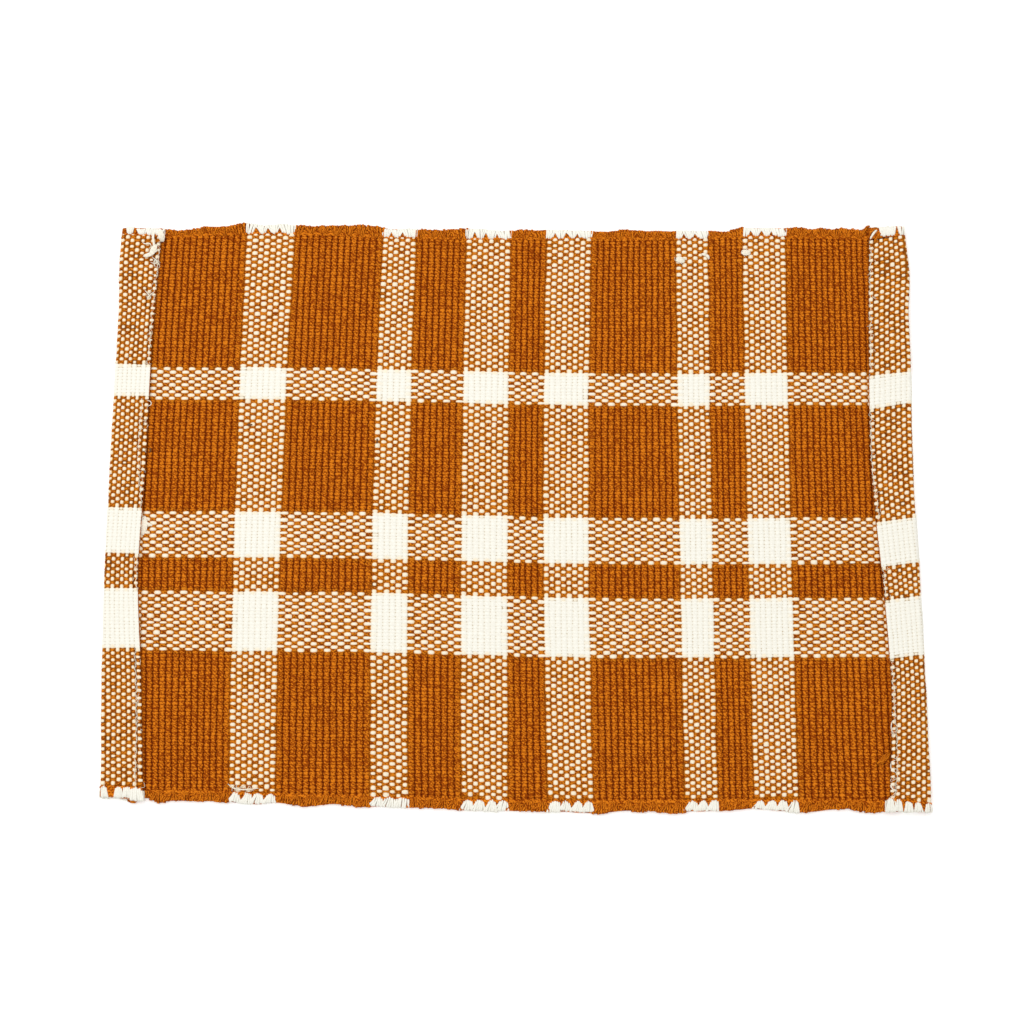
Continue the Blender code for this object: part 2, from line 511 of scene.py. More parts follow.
def relief(weft_up, white, steps):
    """How each point of the grid is pushed: along x, y and down, in millimetres, and its crown.

    A border between two rows is pushed by the difference of the two floats' swells, a weft or a
    white float swelling more, and a border between two picks by the difference of their bulges. The
    crown is 1 inside a float and 0 on its borders.
    """
    picks, rows = weft_up.shape
    a = np.arange(picks * steps + 1)[:, None]
    b = np.arange(rows * steps + 1)[None, :]
    on_pick_border = (a % steps == 0) & (b >= 0)
    on_row_border = (b % steps == 0) & (a >= 0)
    i = np.minimum(a // steps, picks - 1)
    j = np.minimum(b // steps, rows - 1)
    amid_rust = ~(white | differing(white))
    swell = np.where(weft_up, 1, -1) * np.where(amid_rust, RUST_SWELL, WEFT_SWELL)
    swell = swell + WHITE_SWELL * white
    push_y = swell[i, np.maximum(j - 1, 0)] - swell[i, j]
    push_y = np.where(on_row_border & ~on_pick_border, push_y, 0.0)
    push_y[:, [0, -1]] = 0.0
    bulge = np.where(weft_up, -1, 1) * np.where(amid_rust, RUST_BULGE, WARP_BULGE)
    push_x = bulge[np.maximum(i - 1, 0), j] - bulge[i, j]
    push_x = np.where(on_pick_border & ~on_row_border, push_x, 0.0)
    push_x[[0, -1]] = 0.0
    down = np.select(
        [on_pick_border & on_row_border, on_pick_border, on_row_border],
        [CORNER_PIT, PICK_GROOVE, ROW_GROOVE],
        np.where(weft_up[i, j], 0.0, WARP_DIP),
    )
    down = down * (1 - SOFT_SHARE * (1 - touched(~white, steps)))
    crown = np.where(on_pick_border | on_row_border, 0.0, 1.0)
    return push_x, push_y, down, crown


def touched(flags, steps):
    """1 on each grid point that a flagged crossing touches, and 0 elsewhere."""
    picks, rows = flags.shape
    touch = np.zeros((picks * steps + 1, rows * steps + 1))
    last_pick, last_row = (picks - 1) * steps + 1, (rows - 1) * steps + 1
    for i in range(steps + 1):
        for j in range(steps + 1):
            part = touch[i : i + last_pick : steps, j : j + last_row : steps]
            np.maximum(part, flags, out=part)
    return touch


def differing(white):
    """Whether a crossing has another colour on one of its four sides."""
    rows_differ = white[:, 1:] != white[:, :-1]
    picks_differ = white[1:, :] != white[:-1, :]
    differs = np.zeros(white.shape, bool)
    differs[:, 1:] |= rows_differ
    differs[:, :-1] |= rows_differ
    differs[1:, :] |= picks_differ
    differs[:-1, :] |= picks_differ
    return differs


def meeting(weft_up, white, steps):
    """1 where rust and white floats meet, less on their crowns and 0 away from them."""
    differs = differing(white)
    both = touched(white, steps) * touched(~white, steps)
    weft_crown = WEFT_MEETING * touched(differs & weft_up, steps)
    warp_crown = WARP_MEETING * touched(differs & ~weft_up, steps)
    return np.maximum(both, np.maximum(weft_crown, warp_crown))


def topped_white(weft_up, pick_white):
    """Whether the yarn on top of each crossing is white."""
    return np.where(weft_up, pick_white[:, None], WARP_WHITE[None, :])


def strip_weave(first, picks, steps, is_back):
    """A body strip's relief and meetings, worked out together with the picks beside it."""
    lead = min(first, 1)
    trail = min(BODY_PICKS - first - picks, 1)
    up = crossings(first - lead, lead + picks + trail) != is_back
    white = topped_white(up, PICK_WHITE[first - lead : first + picks + trail])
    keep = slice(lead * steps, (lead + picks) * steps + 1)
    return [part[keep] for part in (*relief(up, white, steps), meeting(up, white, steps))]


# ---------------------------------------------------------------------------------------------
# Meshes
# ---------------------------------------------------------------------------------------------
YARN_MAP = "yarn"  # mm along the yarn, and 4 n plus -1 to 1 across the yarn numbered n
FLOAT_MAP = "float"  # -1 to 1 across each float along x and along y
BAKE_MAP = "OFBake"
MEETING = "colours_meet"
YARN_STEP = 4.0
RUST, WHITE, HUSK = 0, 1, 2  # the pieces' materials


def link(mesh, materials):
    """Puts a mesh and its materials into the scene, as an object at the origin."""
    for material in materials:
        mesh.materials.append(material)
    piece = bpy.data.objects.new(mesh.name, mesh)
    bpy.context.scene.collection.objects.link(piece)
    return piece


def build(name, points, faces, material_of, maps, meet, materials):
    """A smooth-shaded mesh in the frame's metres, with its UV maps and its colours_meet values.

    `faces` is a list of arrays of point numbers, each (count, corners), and each UV list in `maps`
    matches it.
    """
    mesh = bpy.data.meshes.new(name)
    mesh.from_pydata(in_frame(points), [], [face for group in faces for face in group.tolist()])
    mesh.polygons.foreach_set("material_index", np.concatenate(material_of).astype(np.int32))
    mesh.polygons.foreach_set("use_smooth", np.ones(len(mesh.polygons), bool))
    for map_name, uvs in maps.items():
        layer = mesh.uv_layers.new(name=map_name)
        layer.uv.foreach_set("vector", np.concatenate([uv.ravel() for uv in uvs]).astype(np.float32))
    mesh.uv_layers[YARN_MAP].active_render = True
    mesh.uv_layers.active = mesh.uv_layers[YARN_MAP]
    layer = mesh.attributes.new(MEETING, "FLOAT", "POINT")
    layer.data.foreach_set("value", meet.astype(np.float32))
    return link(mesh, materials)


def grid_quads(grid, flip):
    """The four corners of each of a grid's quads, as (count, 4, ...), the other way round if `flip`."""
    quads = np.stack([grid[:-1, :-1], grid[1:, :-1], grid[1:, 1:], grid[:-1, 1:]], axis=2)
    return (quads[:, :, ::-1] if flip else quads).reshape(-1, 4, *grid.shape[2:])


def corners(grid_u, grid_v, flip):
    """The (u, v) of each quad's corners, for grids of u and v at the points: (count, 4, 2)."""
    return grid_quads(np.stack(np.broadcast_arrays(grid_u, grid_v), axis=-1), flip)


class BakeSheet:
    """Lays both faces of a slab out on one unit square, cut into columns so that it fills up.

    One crossing is one unit wide and high. Column k holds rows k R to (k + 1) R of the front,
    and beside them those of the back. The slab's walls fill a band above.
    """

    GAP = 1.0
    WALL_BAND = 0.6
    WALL_FILL = (0.9, 0.8)  # of a wall's cell, along and up

    def __init__(self, picks, rows):
        self.picks = picks
        self.columns = max(1, round(math.sqrt(rows / (2 * picks))))
        self.rows = math.ceil(rows / self.columns)
        self.width = self.columns * 2 * (picks + self.GAP)
        walls = 2 * (picks + rows)
        self.wall_columns = int(self.width)
        bands = math.ceil(walls / self.wall_columns)
        self.height = self.rows + self.GAP + bands * self.WALL_BAND

    def face(self, pick, row, of_row, back):
        """UV of corners at (pick, row) of quads that belong to crossing row `of_row`."""
        part = of_row // self.rows
        u = pick + (2 * part + back) * (self.picks + self.GAP)
        v = row - part * self.rows
        return np.stack([u / self.width, v / self.height], axis=-1)

    def wall(self, number, along, up):
        """UV of a wall corner: wall `number`, a share `along` it and 0 or 1 `up` it."""
        fill_u, fill_v = self.WALL_FILL
        u = number % self.wall_columns + fill_u * along
        v = self.rows + self.GAP + (number // self.wall_columns + fill_v * up) * self.WALL_BAND
        return np.stack([u / self.width, v / self.height], axis=-1)


def wall_triangles(outer, inner, flip):
    """Five triangles for each crossing along an edge, from 3 outer steps to 2 inner ones.

    `outer` and `inner` are the edge's point numbers. Also gives each corner's share along the
    crossing and whether it is on the outer face.
    """
    count = (len(outer) - 1) // FRONT_STEPS
    edges = {
        "outer": (outer, FRONT_STEPS, (0.0, CROWN_AT, 1 - CROWN_AT, 1.0)),
        "inner": (inner, BACK_STEPS, (0.0, 0.5, 1.0)),
    }
    plan = (
        (("outer", 0), ("outer", 1), ("inner", 0)),
        (("outer", 1), ("inner", 1), ("inner", 0)),
        (("outer", 1), ("outer", 2), ("inner", 1)),
        (("outer", 2), ("inner", 2), ("inner", 1)),
        (("outer", 2), ("outer", 3), ("inner", 2)),
    )

    def corner(side, k):
        numbers, steps, shares = edges[side]
        return numbers[k : k + (count - 1) * steps + 1 : steps], shares[k], float(side == "outer")

    faces, along, up = [], [], []
    for triangle in plan:
        order = [corner(side, k) for side, k in (triangle[::-1] if flip else triangle)]
        faces.append(np.stack([numbers for numbers, _, _ in order], axis=-1))
        along.append([share for _, share, _ in order])
        up.append([is_outer for _, _, is_outer in order])
    return np.stack(faces, axis=1), np.array(along), np.array(up)


def float_places(across, weft_up, white, float_size, own):
    """A face's float map: (place across the float + shift) / size, one of each for every float.

    Away from where colours meet the shift is 0 and the size 1. `own` holds each quad's pick and row.
    """
    size = float_size[:, None] + rng.normal(0, FLOAT_JITTER, (*white.shape, 2))
    shrink = WHITE_SHRINK * rng.random((*white.shape, 1)) ** SHRINK_RARITY
    size = size - shrink * white[..., None]
    size = size * np.where(weft_up[..., None], WEFT_FLOAT, WARP_FLOAT)
    mixed = differing(white)[..., None]
    size = np.where(mixed, size, 1.0)
    shift = rng.normal(0, FLOAT_SHIFT, (*white.shape, 2)) * mixed
    size, shift = (values[own].reshape(-1, 1, 2) for values in (size, shift))
    return (across + shift) / size


def yarn_places(grid, across, weft_up, first_pick, own, flip):
    """A face's yarn map: how far along the yarn on top, and its number with the place across it."""
    of_pick, of_row = (numbers.reshape(-1, 1) for numbers in own)
    run = np.linalg.norm(np.diff(grid[:, :1], axis=0), axis=-1)[:, 0]
    along_warp = np.concatenate([[0.0], np.cumsum(run)])[:, None] + YARN_STEP * first_pick
    along = corners(along_warp, grid[..., 1], flip)
    weft_uv = np.stack([along[..., 1], YARN_STEP * (first_pick + of_pick) + across[..., 0]], axis=-1)
    warp_uv = np.stack([along[..., 0], YARN_STEP * (WARP_NUMBER + of_row) + across[..., 1]], axis=-1)
    return np.where(weft_up[own].reshape(-1, 1, 1), weft_uv, warp_uv)


def woven_slab(name, front, back, weft_up, pick_white, first_pick, float_size, flip):
    """A closed slab of plain weave from its two faces: points, meetings and which crossings sink.

    Each front crossing is 3 x 3 quads and each back crossing 2 x 2, with five wall triangles
    for each crossing round the edge. A face takes the yarn that is on top there, and is rust where
    it sinks under the turned weft, as the walls are. `float_size` is the size of each pick's floats
    along x and along y, as a share of their crossing, where colours meet; elsewhere a float fills
    its crossing.
    """
    sheet = BakeSheet(*weft_up.shape)
    points = np.concatenate([front[0].reshape(-1, 3), back[0].reshape(-1, 3)])
    faces, material_of, yarn_uv, float_uv, bake_uv = [], [], [], [], []
    numbers, offset = [], 0
    for (grid, _, sunk), steps, is_back in ((front, FRONT_STEPS, False), (back, BACK_STEPS, True)):
        shape = grid.shape[:2]
        number = np.arange(shape[0] * shape[1]).reshape(shape) + offset
        offset += number.size
        numbers.append(number)
        turned = flip != is_back
        up = weft_up != is_back
        white = topped_white(up, pick_white)
        a, b = np.arange(shape[0]), np.arange(shape[1])
        own = tuple(np.meshgrid(a[:-1] // steps, b[:-1] // steps, indexing="ij"))
        place, level = (whole + share for whole, share in (split(a, steps), split(b, steps)))
        at = corners(place[:, None], level[None, :], turned)
        across = 2 * (at - np.stack(own, axis=-1).reshape(-1, 1, 2)) - 1
        faces.append(grid_quads(number, turned))
        material_of.append((white & ~sunk)[own].ravel())
        yarn_uv.append(yarn_places(grid, across, up, first_pick, own, turned))
        float_uv.append(float_places(across, up, white, float_size, own))
        bake_uv.append(sheet.face(at[..., 0], at[..., 1], own[1].reshape(-1, 1), is_back))
    number_f, number_b = numbers
    sides = (
        (number_f[0], number_b[0], True),
        (number_f[-1], number_b[-1], False),
        (number_f[:, 0], number_b[:, 0], False),
        (number_f[:, -1], number_b[:, -1], True),
    )
    wall = 0
    for outer, inner, turned in sides:
        triangles, along, up = wall_triangles(outer, inner, turned == flip)
        count = len(triangles)
        faces.append(triangles.reshape(-1, 3))
        material_of.append(np.full(len(faces[-1]), RUST))
        number = (wall + np.arange(count))[:, None, None]
        bake_uv.append(sheet.wall(number, along[None], up[None]).reshape(-1, 3, 2))
        flat = np.stack(np.broadcast_arrays(number + along[None], up[None]), axis=-1)
        yarn_uv.append(flat.reshape(-1, 3, 2))
        float_uv.append(0 * yarn_uv[-1])
        wall += count
    maps = {YARN_MAP: yarn_uv, FLOAT_MAP: float_uv, BAKE_MAP: bake_uv}
    meet = np.concatenate([front[1].ravel(), back[1].ravel()])
    piece = build(name, points, faces, material_of, maps, meet, YARNS)
    mark_borders(piece.data, front[0].shape, back[0].shape)
    return piece


def mark_borders(mesh, front_shape, back_shape):
    """Marks every edge between two crossings sharp, so that each float is shaded as its own dome."""
    place = []
    for side, (shape, steps) in enumerate(((front_shape, FRONT_STEPS), (back_shape, BACK_STEPS))):
        a, b = np.meshgrid(np.arange(shape[0]), np.arange(shape[1]), indexing="ij")
        place.append(np.stack([a.ravel(), b.ravel(), 0 * a.ravel() + steps, 0 * a.ravel() + side]))
    a, b, steps, side = np.concatenate(place, axis=1)
    ends = np.empty(2 * len(mesh.edges), np.int32)
    mesh.edges.foreach_get("vertices", ends)
    p, q = ends.reshape(-1, 2).T
    along_pick_border = (a[p] == a[q]) & (a[p] % steps[p] == 0)
    along_row_border = (b[p] == b[q]) & (b[p] % steps[p] == 0)
    sharp = along_pick_border | along_row_border | (side[p] != side[q])
    mesh.edges.foreach_set("use_edge_sharp", sharp)


# ---------------------------------------------------------------------------------------------
# Bundles of tubes: selvedge strands, edge cords and sewing thread
# ---------------------------------------------------------------------------------------------
TUBE_SIDES = 6
THREAD_SIDES = 5
CORD_SIDES = 8
TIP_SHADE = 1.0  # how deep in the cloth a tube's first end reads, with painted groove shade there
TIP_STATIONS = 2  # and over how many stations that fades
STRAND_SIDE_SHADE = 1.15  # how deep the painted shade on a tube's sides is, where it touches the next one
CORD_SIDE_SHADE = 0.8
THREAD_SIDE_SHADE = 0.6
HANK_SIDE_SHADE = 1.0


def tube_rings(line, side_axis, up_axis, half_width, half_height, sides=TUBE_SIDES):
    """Rings round lines, as (tubes, stations, sides, 3): centre + side w cos(a) + up h sin(a)."""
    angle = 2 * math.pi * np.arange(sides) / sides
    w = np.broadcast_to(half_width, line.shape[:2])[..., None, None] * np.cos(angle)[:, None]
    h = np.broadcast_to(half_height, line.shape[:2])[..., None, None] * np.sin(angle)[:, None]
    return line[:, :, None] + side_axis[:, :, None] * w + up_axis[:, :, None] * h


def tube_faces(sides, stations, flip):
    """One tube's quads and end fans over its rings' points and its two end points."""
    ring = np.arange(stations * sides).reshape(stations, sides)
    closed = np.concatenate([ring, ring[:, :1]], axis=1)
    quads = grid_quads(closed, flip)
    first, last = stations * sides, stations * sides + 1
    around = np.arange(sides)
    after = (around + 1) % sides
    start = np.stack([ring[0][around], ring[0][after], np.full(sides, first)], axis=-1)
    end = np.stack([ring[-1][after], ring[-1][around], np.full(sides, last)], axis=-1)
    fans = np.concatenate([start, end])
    return quads, (fans[:, ::-1] if flip else fans)


def paired(*values):
    """Stacks values of (tubes, faces, corners) as the coordinates of one map, (all faces, corners, n)."""
    stacked = np.stack(np.broadcast_arrays(*values), axis=-1)
    return stacked.reshape(-1, *stacked.shape[2:])


class Bundle:
    """Collects closed tubes of the same kind into the lists that make one mesh."""

    SIDE_FILL = 0.9  # how far a tube's own sides fill its band of the yarn map
    CELL_FROM = (0.05, 0.10)  # where a tube's sides start in its cell of the bake's map
    CELL_SIZE = (0.85, 0.75)
    FAN_CORNERS = ((0.05, 0.0), (0.09, 0.0), (0.07, 0.06))  # of an end fan's first triangle
    LAST_FAN_UP = 0.90

    def __init__(self):
        self.points, self.faces, self.materials, self.meet = [], [], [], []
        self.yarn, self.float, self.cells = [], [], []
        self.count, self.tubes = 0, 0

    def add(self, rings, material, number, side_shade=STRAND_SIDE_SHADE, meet=0.0):
        """Adds tubes from rings (tubes, stations, sides, 3), each with its material and yarn number.

        The tubes' sides take painted shade where they touch the next tube, as deep as the given closeness,
        and `meet` is how far they take on painted light reflected from the other colour.
        """
        tubes, stations, sides, _ = rings.shape
        ends = rings[:, [0, -1]].mean(axis=2)
        points = np.concatenate([rings.reshape(tubes, -1, 3), ends], axis=1)
        a, b, c = (rings[0, 0, k] for k in (0, 1, 2))
        ahead = rings[0, 1].mean(axis=0) - rings[0, 0].mean(axis=0)
        flip = np.dot(np.cross(b - a, c - b), ahead) > 0
        quads, fans = tube_faces(sides, stations, flip)
        start = self.count + np.arange(tubes)[:, None, None] * points.shape[1]
        self.faces += [(quads + start).reshape(-1, 4), (fans + start).reshape(-1, 3)]
        self.points.append(points.reshape(-1, 3))
        self.meet.append(np.full(tubes * points.shape[1], meet))
        material = np.broadcast_to(material, tubes)
        self.materials += [np.repeat(material, len(quads)), np.repeat(material, len(fans))]
        cell = (self.tubes + np.arange(tubes))[:, None, None]
        band = YARN_STEP * np.broadcast_to(number, tubes)[:, None, None]
        self.lay_sides(rings, flip, side_shade, cell, band)
        self.lay_ends(len(fans), cell, band)
        self.count += tubes * points.shape[1]
        self.tubes += tubes

    def lay_sides(self, rings, flip, side_shade, cell, band):
        """The maps of the tubes' sides: along and across each strand, and its own cell of the bake."""
        tubes, stations, sides, _ = rings.shape
        step = np.linalg.norm(np.diff(rings.mean(axis=2), axis=1), axis=-1)
        length = np.concatenate([np.zeros((tubes, 1)), np.cumsum(step, axis=1)], axis=1)
        across = np.cos(2 * math.pi * np.arange(sides + 1) / sides)
        at = corners(np.arange(stations)[:, None], np.arange(sides + 1)[None, :], flip)
        station, side = at[..., 0], at[..., 1]
        self.yarn.append(paired(length[:, station], band + self.SIDE_FILL * across[side]))
        # A tube's first end and its sides take painted shade: where it dives into the cloth, and where it
        # touches the next tube.
        tip = TIP_SHADE * np.clip(1 - station / TIP_STATIONS, 0, 1)
        self.float.append(paired(tip + 0 * cell, side_shade * np.abs(across[side])))
        (low_u, low_v), (wide, high) = self.CELL_FROM, self.CELL_SIZE
        self.cells.append(paired(cell, low_u + wide * side / sides, low_v + high * station / (stations - 1)))

    def lay_ends(self, count, cell, band):
        """The maps of the tubes' two end fans, in the margins of their cells."""
        sides = count // 2
        fan = np.arange(count)
        shift = self.CELL_SIZE[0] * (fan % sides) / sides
        up = np.where(fan < sides, 0.0, self.LAST_FAN_UP)
        u, v = np.moveaxis(np.array(self.FAN_CORNERS) + np.stack([shift, up], axis=-1)[:, None], -1, 0)
        self.cells.append(paired(cell, u, v))
        self.yarn.append(paired(0 * u, band))
        self.float.append(paired(0 * (u + cell), 0 * v))

    def piece(self, name, materials):
        """The mesh, with the tubes' cells packed as a square in the bake's map."""
        wide = math.ceil(math.sqrt(self.tubes))
        bake = []
        for cells in self.cells:
            cell, u, v = np.moveaxis(cells, -1, 0)
            bake.append(np.stack([cell % wide + u, cell // wide + v], axis=-1) / wide)
        maps = {YARN_MAP: self.yarn, FLOAT_MAP: self.float, BAKE_MAP: bake}
        meet = np.concatenate(self.meet)
        return build(name, np.concatenate(self.points), self.faces, self.materials, maps, meet, materials)


# ---------------------------------------------------------------------------------------------
# The cloth's pieces
# ---------------------------------------------------------------------------------------------
def grid_places(picks, steps):
    """A face's grid: each point's pick, place in picks, row, share of it, and y on straight rows."""
    pick, pick_share = (v[:, None] for v in split(np.arange(picks * steps + 1), steps))
    row, row_share = (v[None, :] for v in split(np.arange(ROWS * steps + 1), steps))
    y_flat = between(row, row_share, ROWS, lambda k: ROW_Y[k]) + 0 * pick
    place = np.broadcast_to(pick + pick_share, y_flat.shape)
    return np.broadcast_to(pick, y_flat.shape), place, row, row_share, y_flat


def row_levels(row, row_share, x, rise, near):
    """Each point's y: the mix of its row's two borders, which rise and wander along the warp."""

    def border_y(k):
        line = np.broadcast_to(k, x.shape)
        return tuck_under(ROW_Y[line] + row_wander.along(line, x) + rise, line, near)

    return between(row, row_share, ROWS, border_y)


def face_height(y, limits, number, down, crown, is_inner):
    """How far a face lies out from the cloth's middle surface, and how far it dips at the selvedges.

    The outer face is at half the cloth - groove + crown x its wander - dip, and the inner face at
    a share of the groove - half the cloth.
    """
    if is_inner:
        return down * BACK_GROOVE - HALF_CLOTH, np.zeros(y.shape)
    dip = sink(y, *limits)
    return HALF_CLOTH - down + crown_wander.along(number, y) * crown - dip, dip


def sunk_crossings(dip, steps):
    """Whether each crossing's face lies low enough to be hidden under the turned weft."""
    return dip[1::steps, 1::steps] > SUNK_DEPTH


def body_points(first, picks, steps, is_back):
    """One face of a body strip, from pick border `first` on: points, meetings, sunk crossings.

    A point's x is the mix of its pick's two borders, and its y the mix of its row's two borders,
    both with their wander; the relief then bulges the borders and sinks them under the crowns.
    """
    pick, place, row, row_share, y_flat = grid_places(picks, steps)
    x, middle_z, _, _ = body_path(place + first, y_flat)
    limits = (line_curve("near", x), line_curve("far", x))
    y = row_levels(row, row_share, x, row_lift(x, y_flat), limits[0])
    push_x, push_y, down, crown, meet = strip_weave(first, picks, steps, is_back)
    height, dip = face_height(y, limits, pick + first, down, crown, is_back)
    points = np.stack([x + push_x, y + push_y, middle_z + height], axis=-1)
    return points, meet, sunk_crossings(dip, steps)


def body_strip(name, first, picks):
    """A strip of the body: the woven slab between the two faces that `body_points` gives."""
    front = body_points(first, picks, FRONT_STEPS, False)
    back = body_points(first, picks, BACK_STEPS, True)
    white = PICK_WHITE[first : first + picks]
    size = np.ones((picks, 2))
    return woven_slab(name, front, back, crossings(first, picks), white, first, size, False)


def hem_points(side, first, steps, is_inner):
    """One face of a hem, over the body, round its fold and under it, as `body_points` gives it.

    A point is set off from the hem's middle surface by its face's height, along the normal.
    """
    pick, place, row, row_share, y_flat = grid_places(HEM_PICKS, steps)
    number = pick + first
    up = crossings(first, HEM_PICKS) != is_inner
    white = topped_white(up, np.ones(HEM_PICKS, bool))
    push_x, push_y, down, crown = relief(up, white, steps)
    inside = (place > 0) & (place < HEM_PICKS)
    wander = HEM_WANDER * pick_wander.along(number, y_flat)
    place = place + (wander + push_x / HEM_PICK_MM) * inside
    x, z, normal_x, normal_z = hem_path(side, place, y_flat)
    limits = [edge_of_hem(side, edge, place)[0] for edge in ("near", "far")]
    y = row_levels(row, row_share, x, hem_rise(side, place, x, y_flat), limits[0])
    height, dip = face_height(y, limits, number, down, crown, is_inner)
    height = np.where(normal_z < 0, np.minimum(height, HALF_CLOTH), height)
    points = np.stack([x + normal_x * height, y + push_y, z + normal_z * height], axis=-1)
    return points, meeting(up, white, steps), sunk_crossings(dip, steps)


def hem(name, side, first):
    """A hem: the woven slab between the two faces that `hem_points` gives, with white weft only."""
    front = hem_points(side, first, FRONT_STEPS, False)
    back = hem_points(side, first, BACK_STEPS, True)
    white = np.ones(HEM_PICKS, bool)
    size = np.array([CUT_EDGE_FLOAT] + [HEM_FLOAT] * (HEM_PICKS - 1))
    return woven_slab(name, front, back, crossings(first, HEM_PICKS), white, first, size, side == "left")


# The turned weft: bunches of fine strands, each about two picks wide at the outline.
PICK_MM = 3.35
STRANDS = 6
STRAND_ANGLES = np.radians([168, 150, 125, 95, 60, 25, -15, -60, -105, -150])
SQUARENESS = 0.6
STRAND_THICKNESS = 0.36
STRAND_OVERLAP = 0.62  # a strand's half-width, as a share of its bunch's width for each strand
STRAND_EXTRA = 0.06
STRAND_RISE = 0.82  # of the strands' middle line above and under its own middle
STRAND_MIDDLE = 0.20  # above the cloth's middle
BUNCH_CROWN = 0.15  # how much higher a bunch's middle strands lie
CROWN_JITTER = 0.05
TIP_ROUND = 0.8  # how much further in a bunch's middle strands reach
TIP_BACK = 1.4  # how far outside the line its side strands end
TIP_JITTER = 0.2
BUNCH_JITTER = 0.32  # of a whole bunch's reach
REACH_JITTER = 0.2  # and of a strand's
INNER_JITTER, OUTER_JITTER = 0.04, 0.05  # of a strand's place, in picks
SPREAD_FROM, SPREAD_TO = 0.05, 0.95  # the stretch of the way out over which a bunch widens
CORD_RADIUS = 0.85
CORD_SPREAD = 0.18  # its half-width at least, as a share of the way from the line to the outline
CORD_SHARES = (0.16, 0.48, 0.78)  # the edge cords' places from the line to the outline
CORD_WAVE, CORD_WAVE_RATE = 0.12, 1.9
CORD_LIFT = 0.12  # of the inmost cord above the cloth's middle
CORD_STEP = 0.1  # and how much lower each next one lies


def signed_power(value, power):
    """|value|^power, with the sign of the value."""
    return np.sign(value) * np.abs(value) ** power


def bunches(bundle, edge, path, limits, spans, white, first_number):
    """Bunches of strands that turn round the edge cords: each strand's line is a squarish ring.

    A span is (inner left, inner right, outer left, outer right) in picks. The ring is a
    superellipse, y = cos^0.6 and height = sin^0.6, from inside the cloth's face over the top,
    round the outline and back under. Its place in picks widens from the inner span to the outer.
    """
    inward = 1.0 if edge == "near" else -1.0
    spans = np.asarray(spans, float)
    strand = np.linspace(-1, 1, STRANDS)
    mix = (strand + 1) / 2
    inner = (spans[:, :1] * (1 - mix) + spans[:, 1:2] * mix).reshape(-1)
    outer = (spans[:, 2:3] * (1 - mix) + spans[:, 3:] * mix).reshape(-1)
    inner = inner + rng.normal(0, INNER_JITTER, inner.shape)
    outer = outer + rng.normal(0, OUTER_JITTER, outer.shape)
    across = np.tile(strand, len(spans))
    reach = STRAND_THICKNESS + np.repeat(rng.normal(0, BUNCH_JITTER, len(spans)), STRANDS)
    tip = TIP_ROUND * (1 - across**2) - TIP_BACK + rng.normal(0, TIP_JITTER, across.shape)
    reach = reach + rng.normal(0, REACH_JITTER, across.shape)
    line, outline = limits(outer)
    line = line + inward * tip
    outline = outline + inward * reach
    go = 0.5 + 0.5 * signed_power(np.cos(STRAND_ANGLES), SQUARENESS)
    rise = signed_power(np.sin(STRAND_ANGLES), SQUARENESS)
    y = line[:, None] + (outline - line)[:, None] * go
    crown = BUNCH_CROWN * (1 - across**2) + rng.normal(0, CROWN_JITTER, across.shape)
    spread = np.where(STRAND_ANGLES > 0, smooth_between(SPREAD_FROM, SPREAD_TO, go), 1.0)
    place = inner[:, None] * (1 - spread) + outer[:, None] * spread
    x, z, normal_x, normal_z = path(place, y)
    up = np.stack([normal_x, 0 * x, normal_z], axis=-1)
    on_top = np.clip(normal_z, 0, 1) * (rise > 0)
    height = STRAND_MIDDLE * normal_z + rise * (STRAND_RISE + on_top * crown[:, None])
    middle = np.stack([x, y, z], axis=-1) + up * height[..., None]
    along = np.gradient(middle, axis=1)
    along /= np.linalg.norm(along, axis=-1, keepdims=True)
    side = np.stack([normal_z, 0 * x, -normal_x], axis=-1)
    radial = np.cross(along, side)
    width = (spans[:, 3] - spans[:, 2]).repeat(STRANDS)[:, None] * spread
    width = width + (spans[:, 1] - spans[:, 0]).repeat(STRANDS)[:, None] * (1 - spread)
    half_width = STRAND_OVERLAP * width * PICK_MM / STRANDS + STRAND_EXTRA
    rings = tube_rings(middle, side, radial, half_width, STRAND_THICKNESS)
    number = STRAND_NUMBER + first_number * STRANDS + np.arange(len(across))
    bundle.add(rings, np.repeat(np.where(white, WHITE, RUST), STRANDS), number)


# The body's bunches, in picks from the pick that comes up to turn: their left and right edges at the
# outline and at the inner end.
NEAR_OUTER = (-1.15, 0.95)
NEAR_MIDDLE, NEAR_MIDDLE_JITTER = 0.2, 0.08
NEAR_HALF, NEAR_HALF_JITTER = 0.58, 0.07
FAR_OUTER = (-0.55, 1.5)
FAR_INNER = (0.02, 1.05)
FAR_JITTER = 0.06
BLOCK_FROM, BLOCK_TO = 0.6, 1.3  # within this of its block's end, a bunch goes on to that end


def body_spans(edge):
    """The body's bunches: their centre picks and spans, kept inside their block of one colour.

    At the near edge the even picks come up to turn, and each turns back as the pick before it. At
    the far edge the odd picks come up, and spread to half of the pick on either side.
    """
    start = np.concatenate([[0], np.cumsum([block[1] for block in PICK_BLOCKS[:-1]])])
    first = 2 if edge == "near" else 1
    centre = np.arange(first, BODY_PICKS, 2)
    block = np.searchsorted(start, centre, side="right") - 1
    low, high = start[block], start[block + 1]
    if edge == "near":
        left, right = (centre + out for out in NEAR_OUTER)
        middle = centre + NEAR_MIDDLE + rng.normal(0, NEAR_MIDDLE_JITTER, centre.shape)
        half = NEAR_HALF + rng.normal(0, NEAR_HALF_JITTER, centre.shape)
        inner_left, inner_right = middle - half, middle + half
    else:
        left, right = (centre + out for out in FAR_OUTER)
        left = np.where(left < low + BLOCK_FROM, low, left)
        right = np.where(right > high - BLOCK_TO, high, right)
        inner = [centre + rng.normal(out, FAR_JITTER, centre.shape) for out in FAR_INNER]
        inner_left = np.where(left == low, low, inner[0])
        inner_right = np.where(right == high, high, inner[1])
    return centre, np.stack([inner_left, inner_right, left, right], axis=-1)


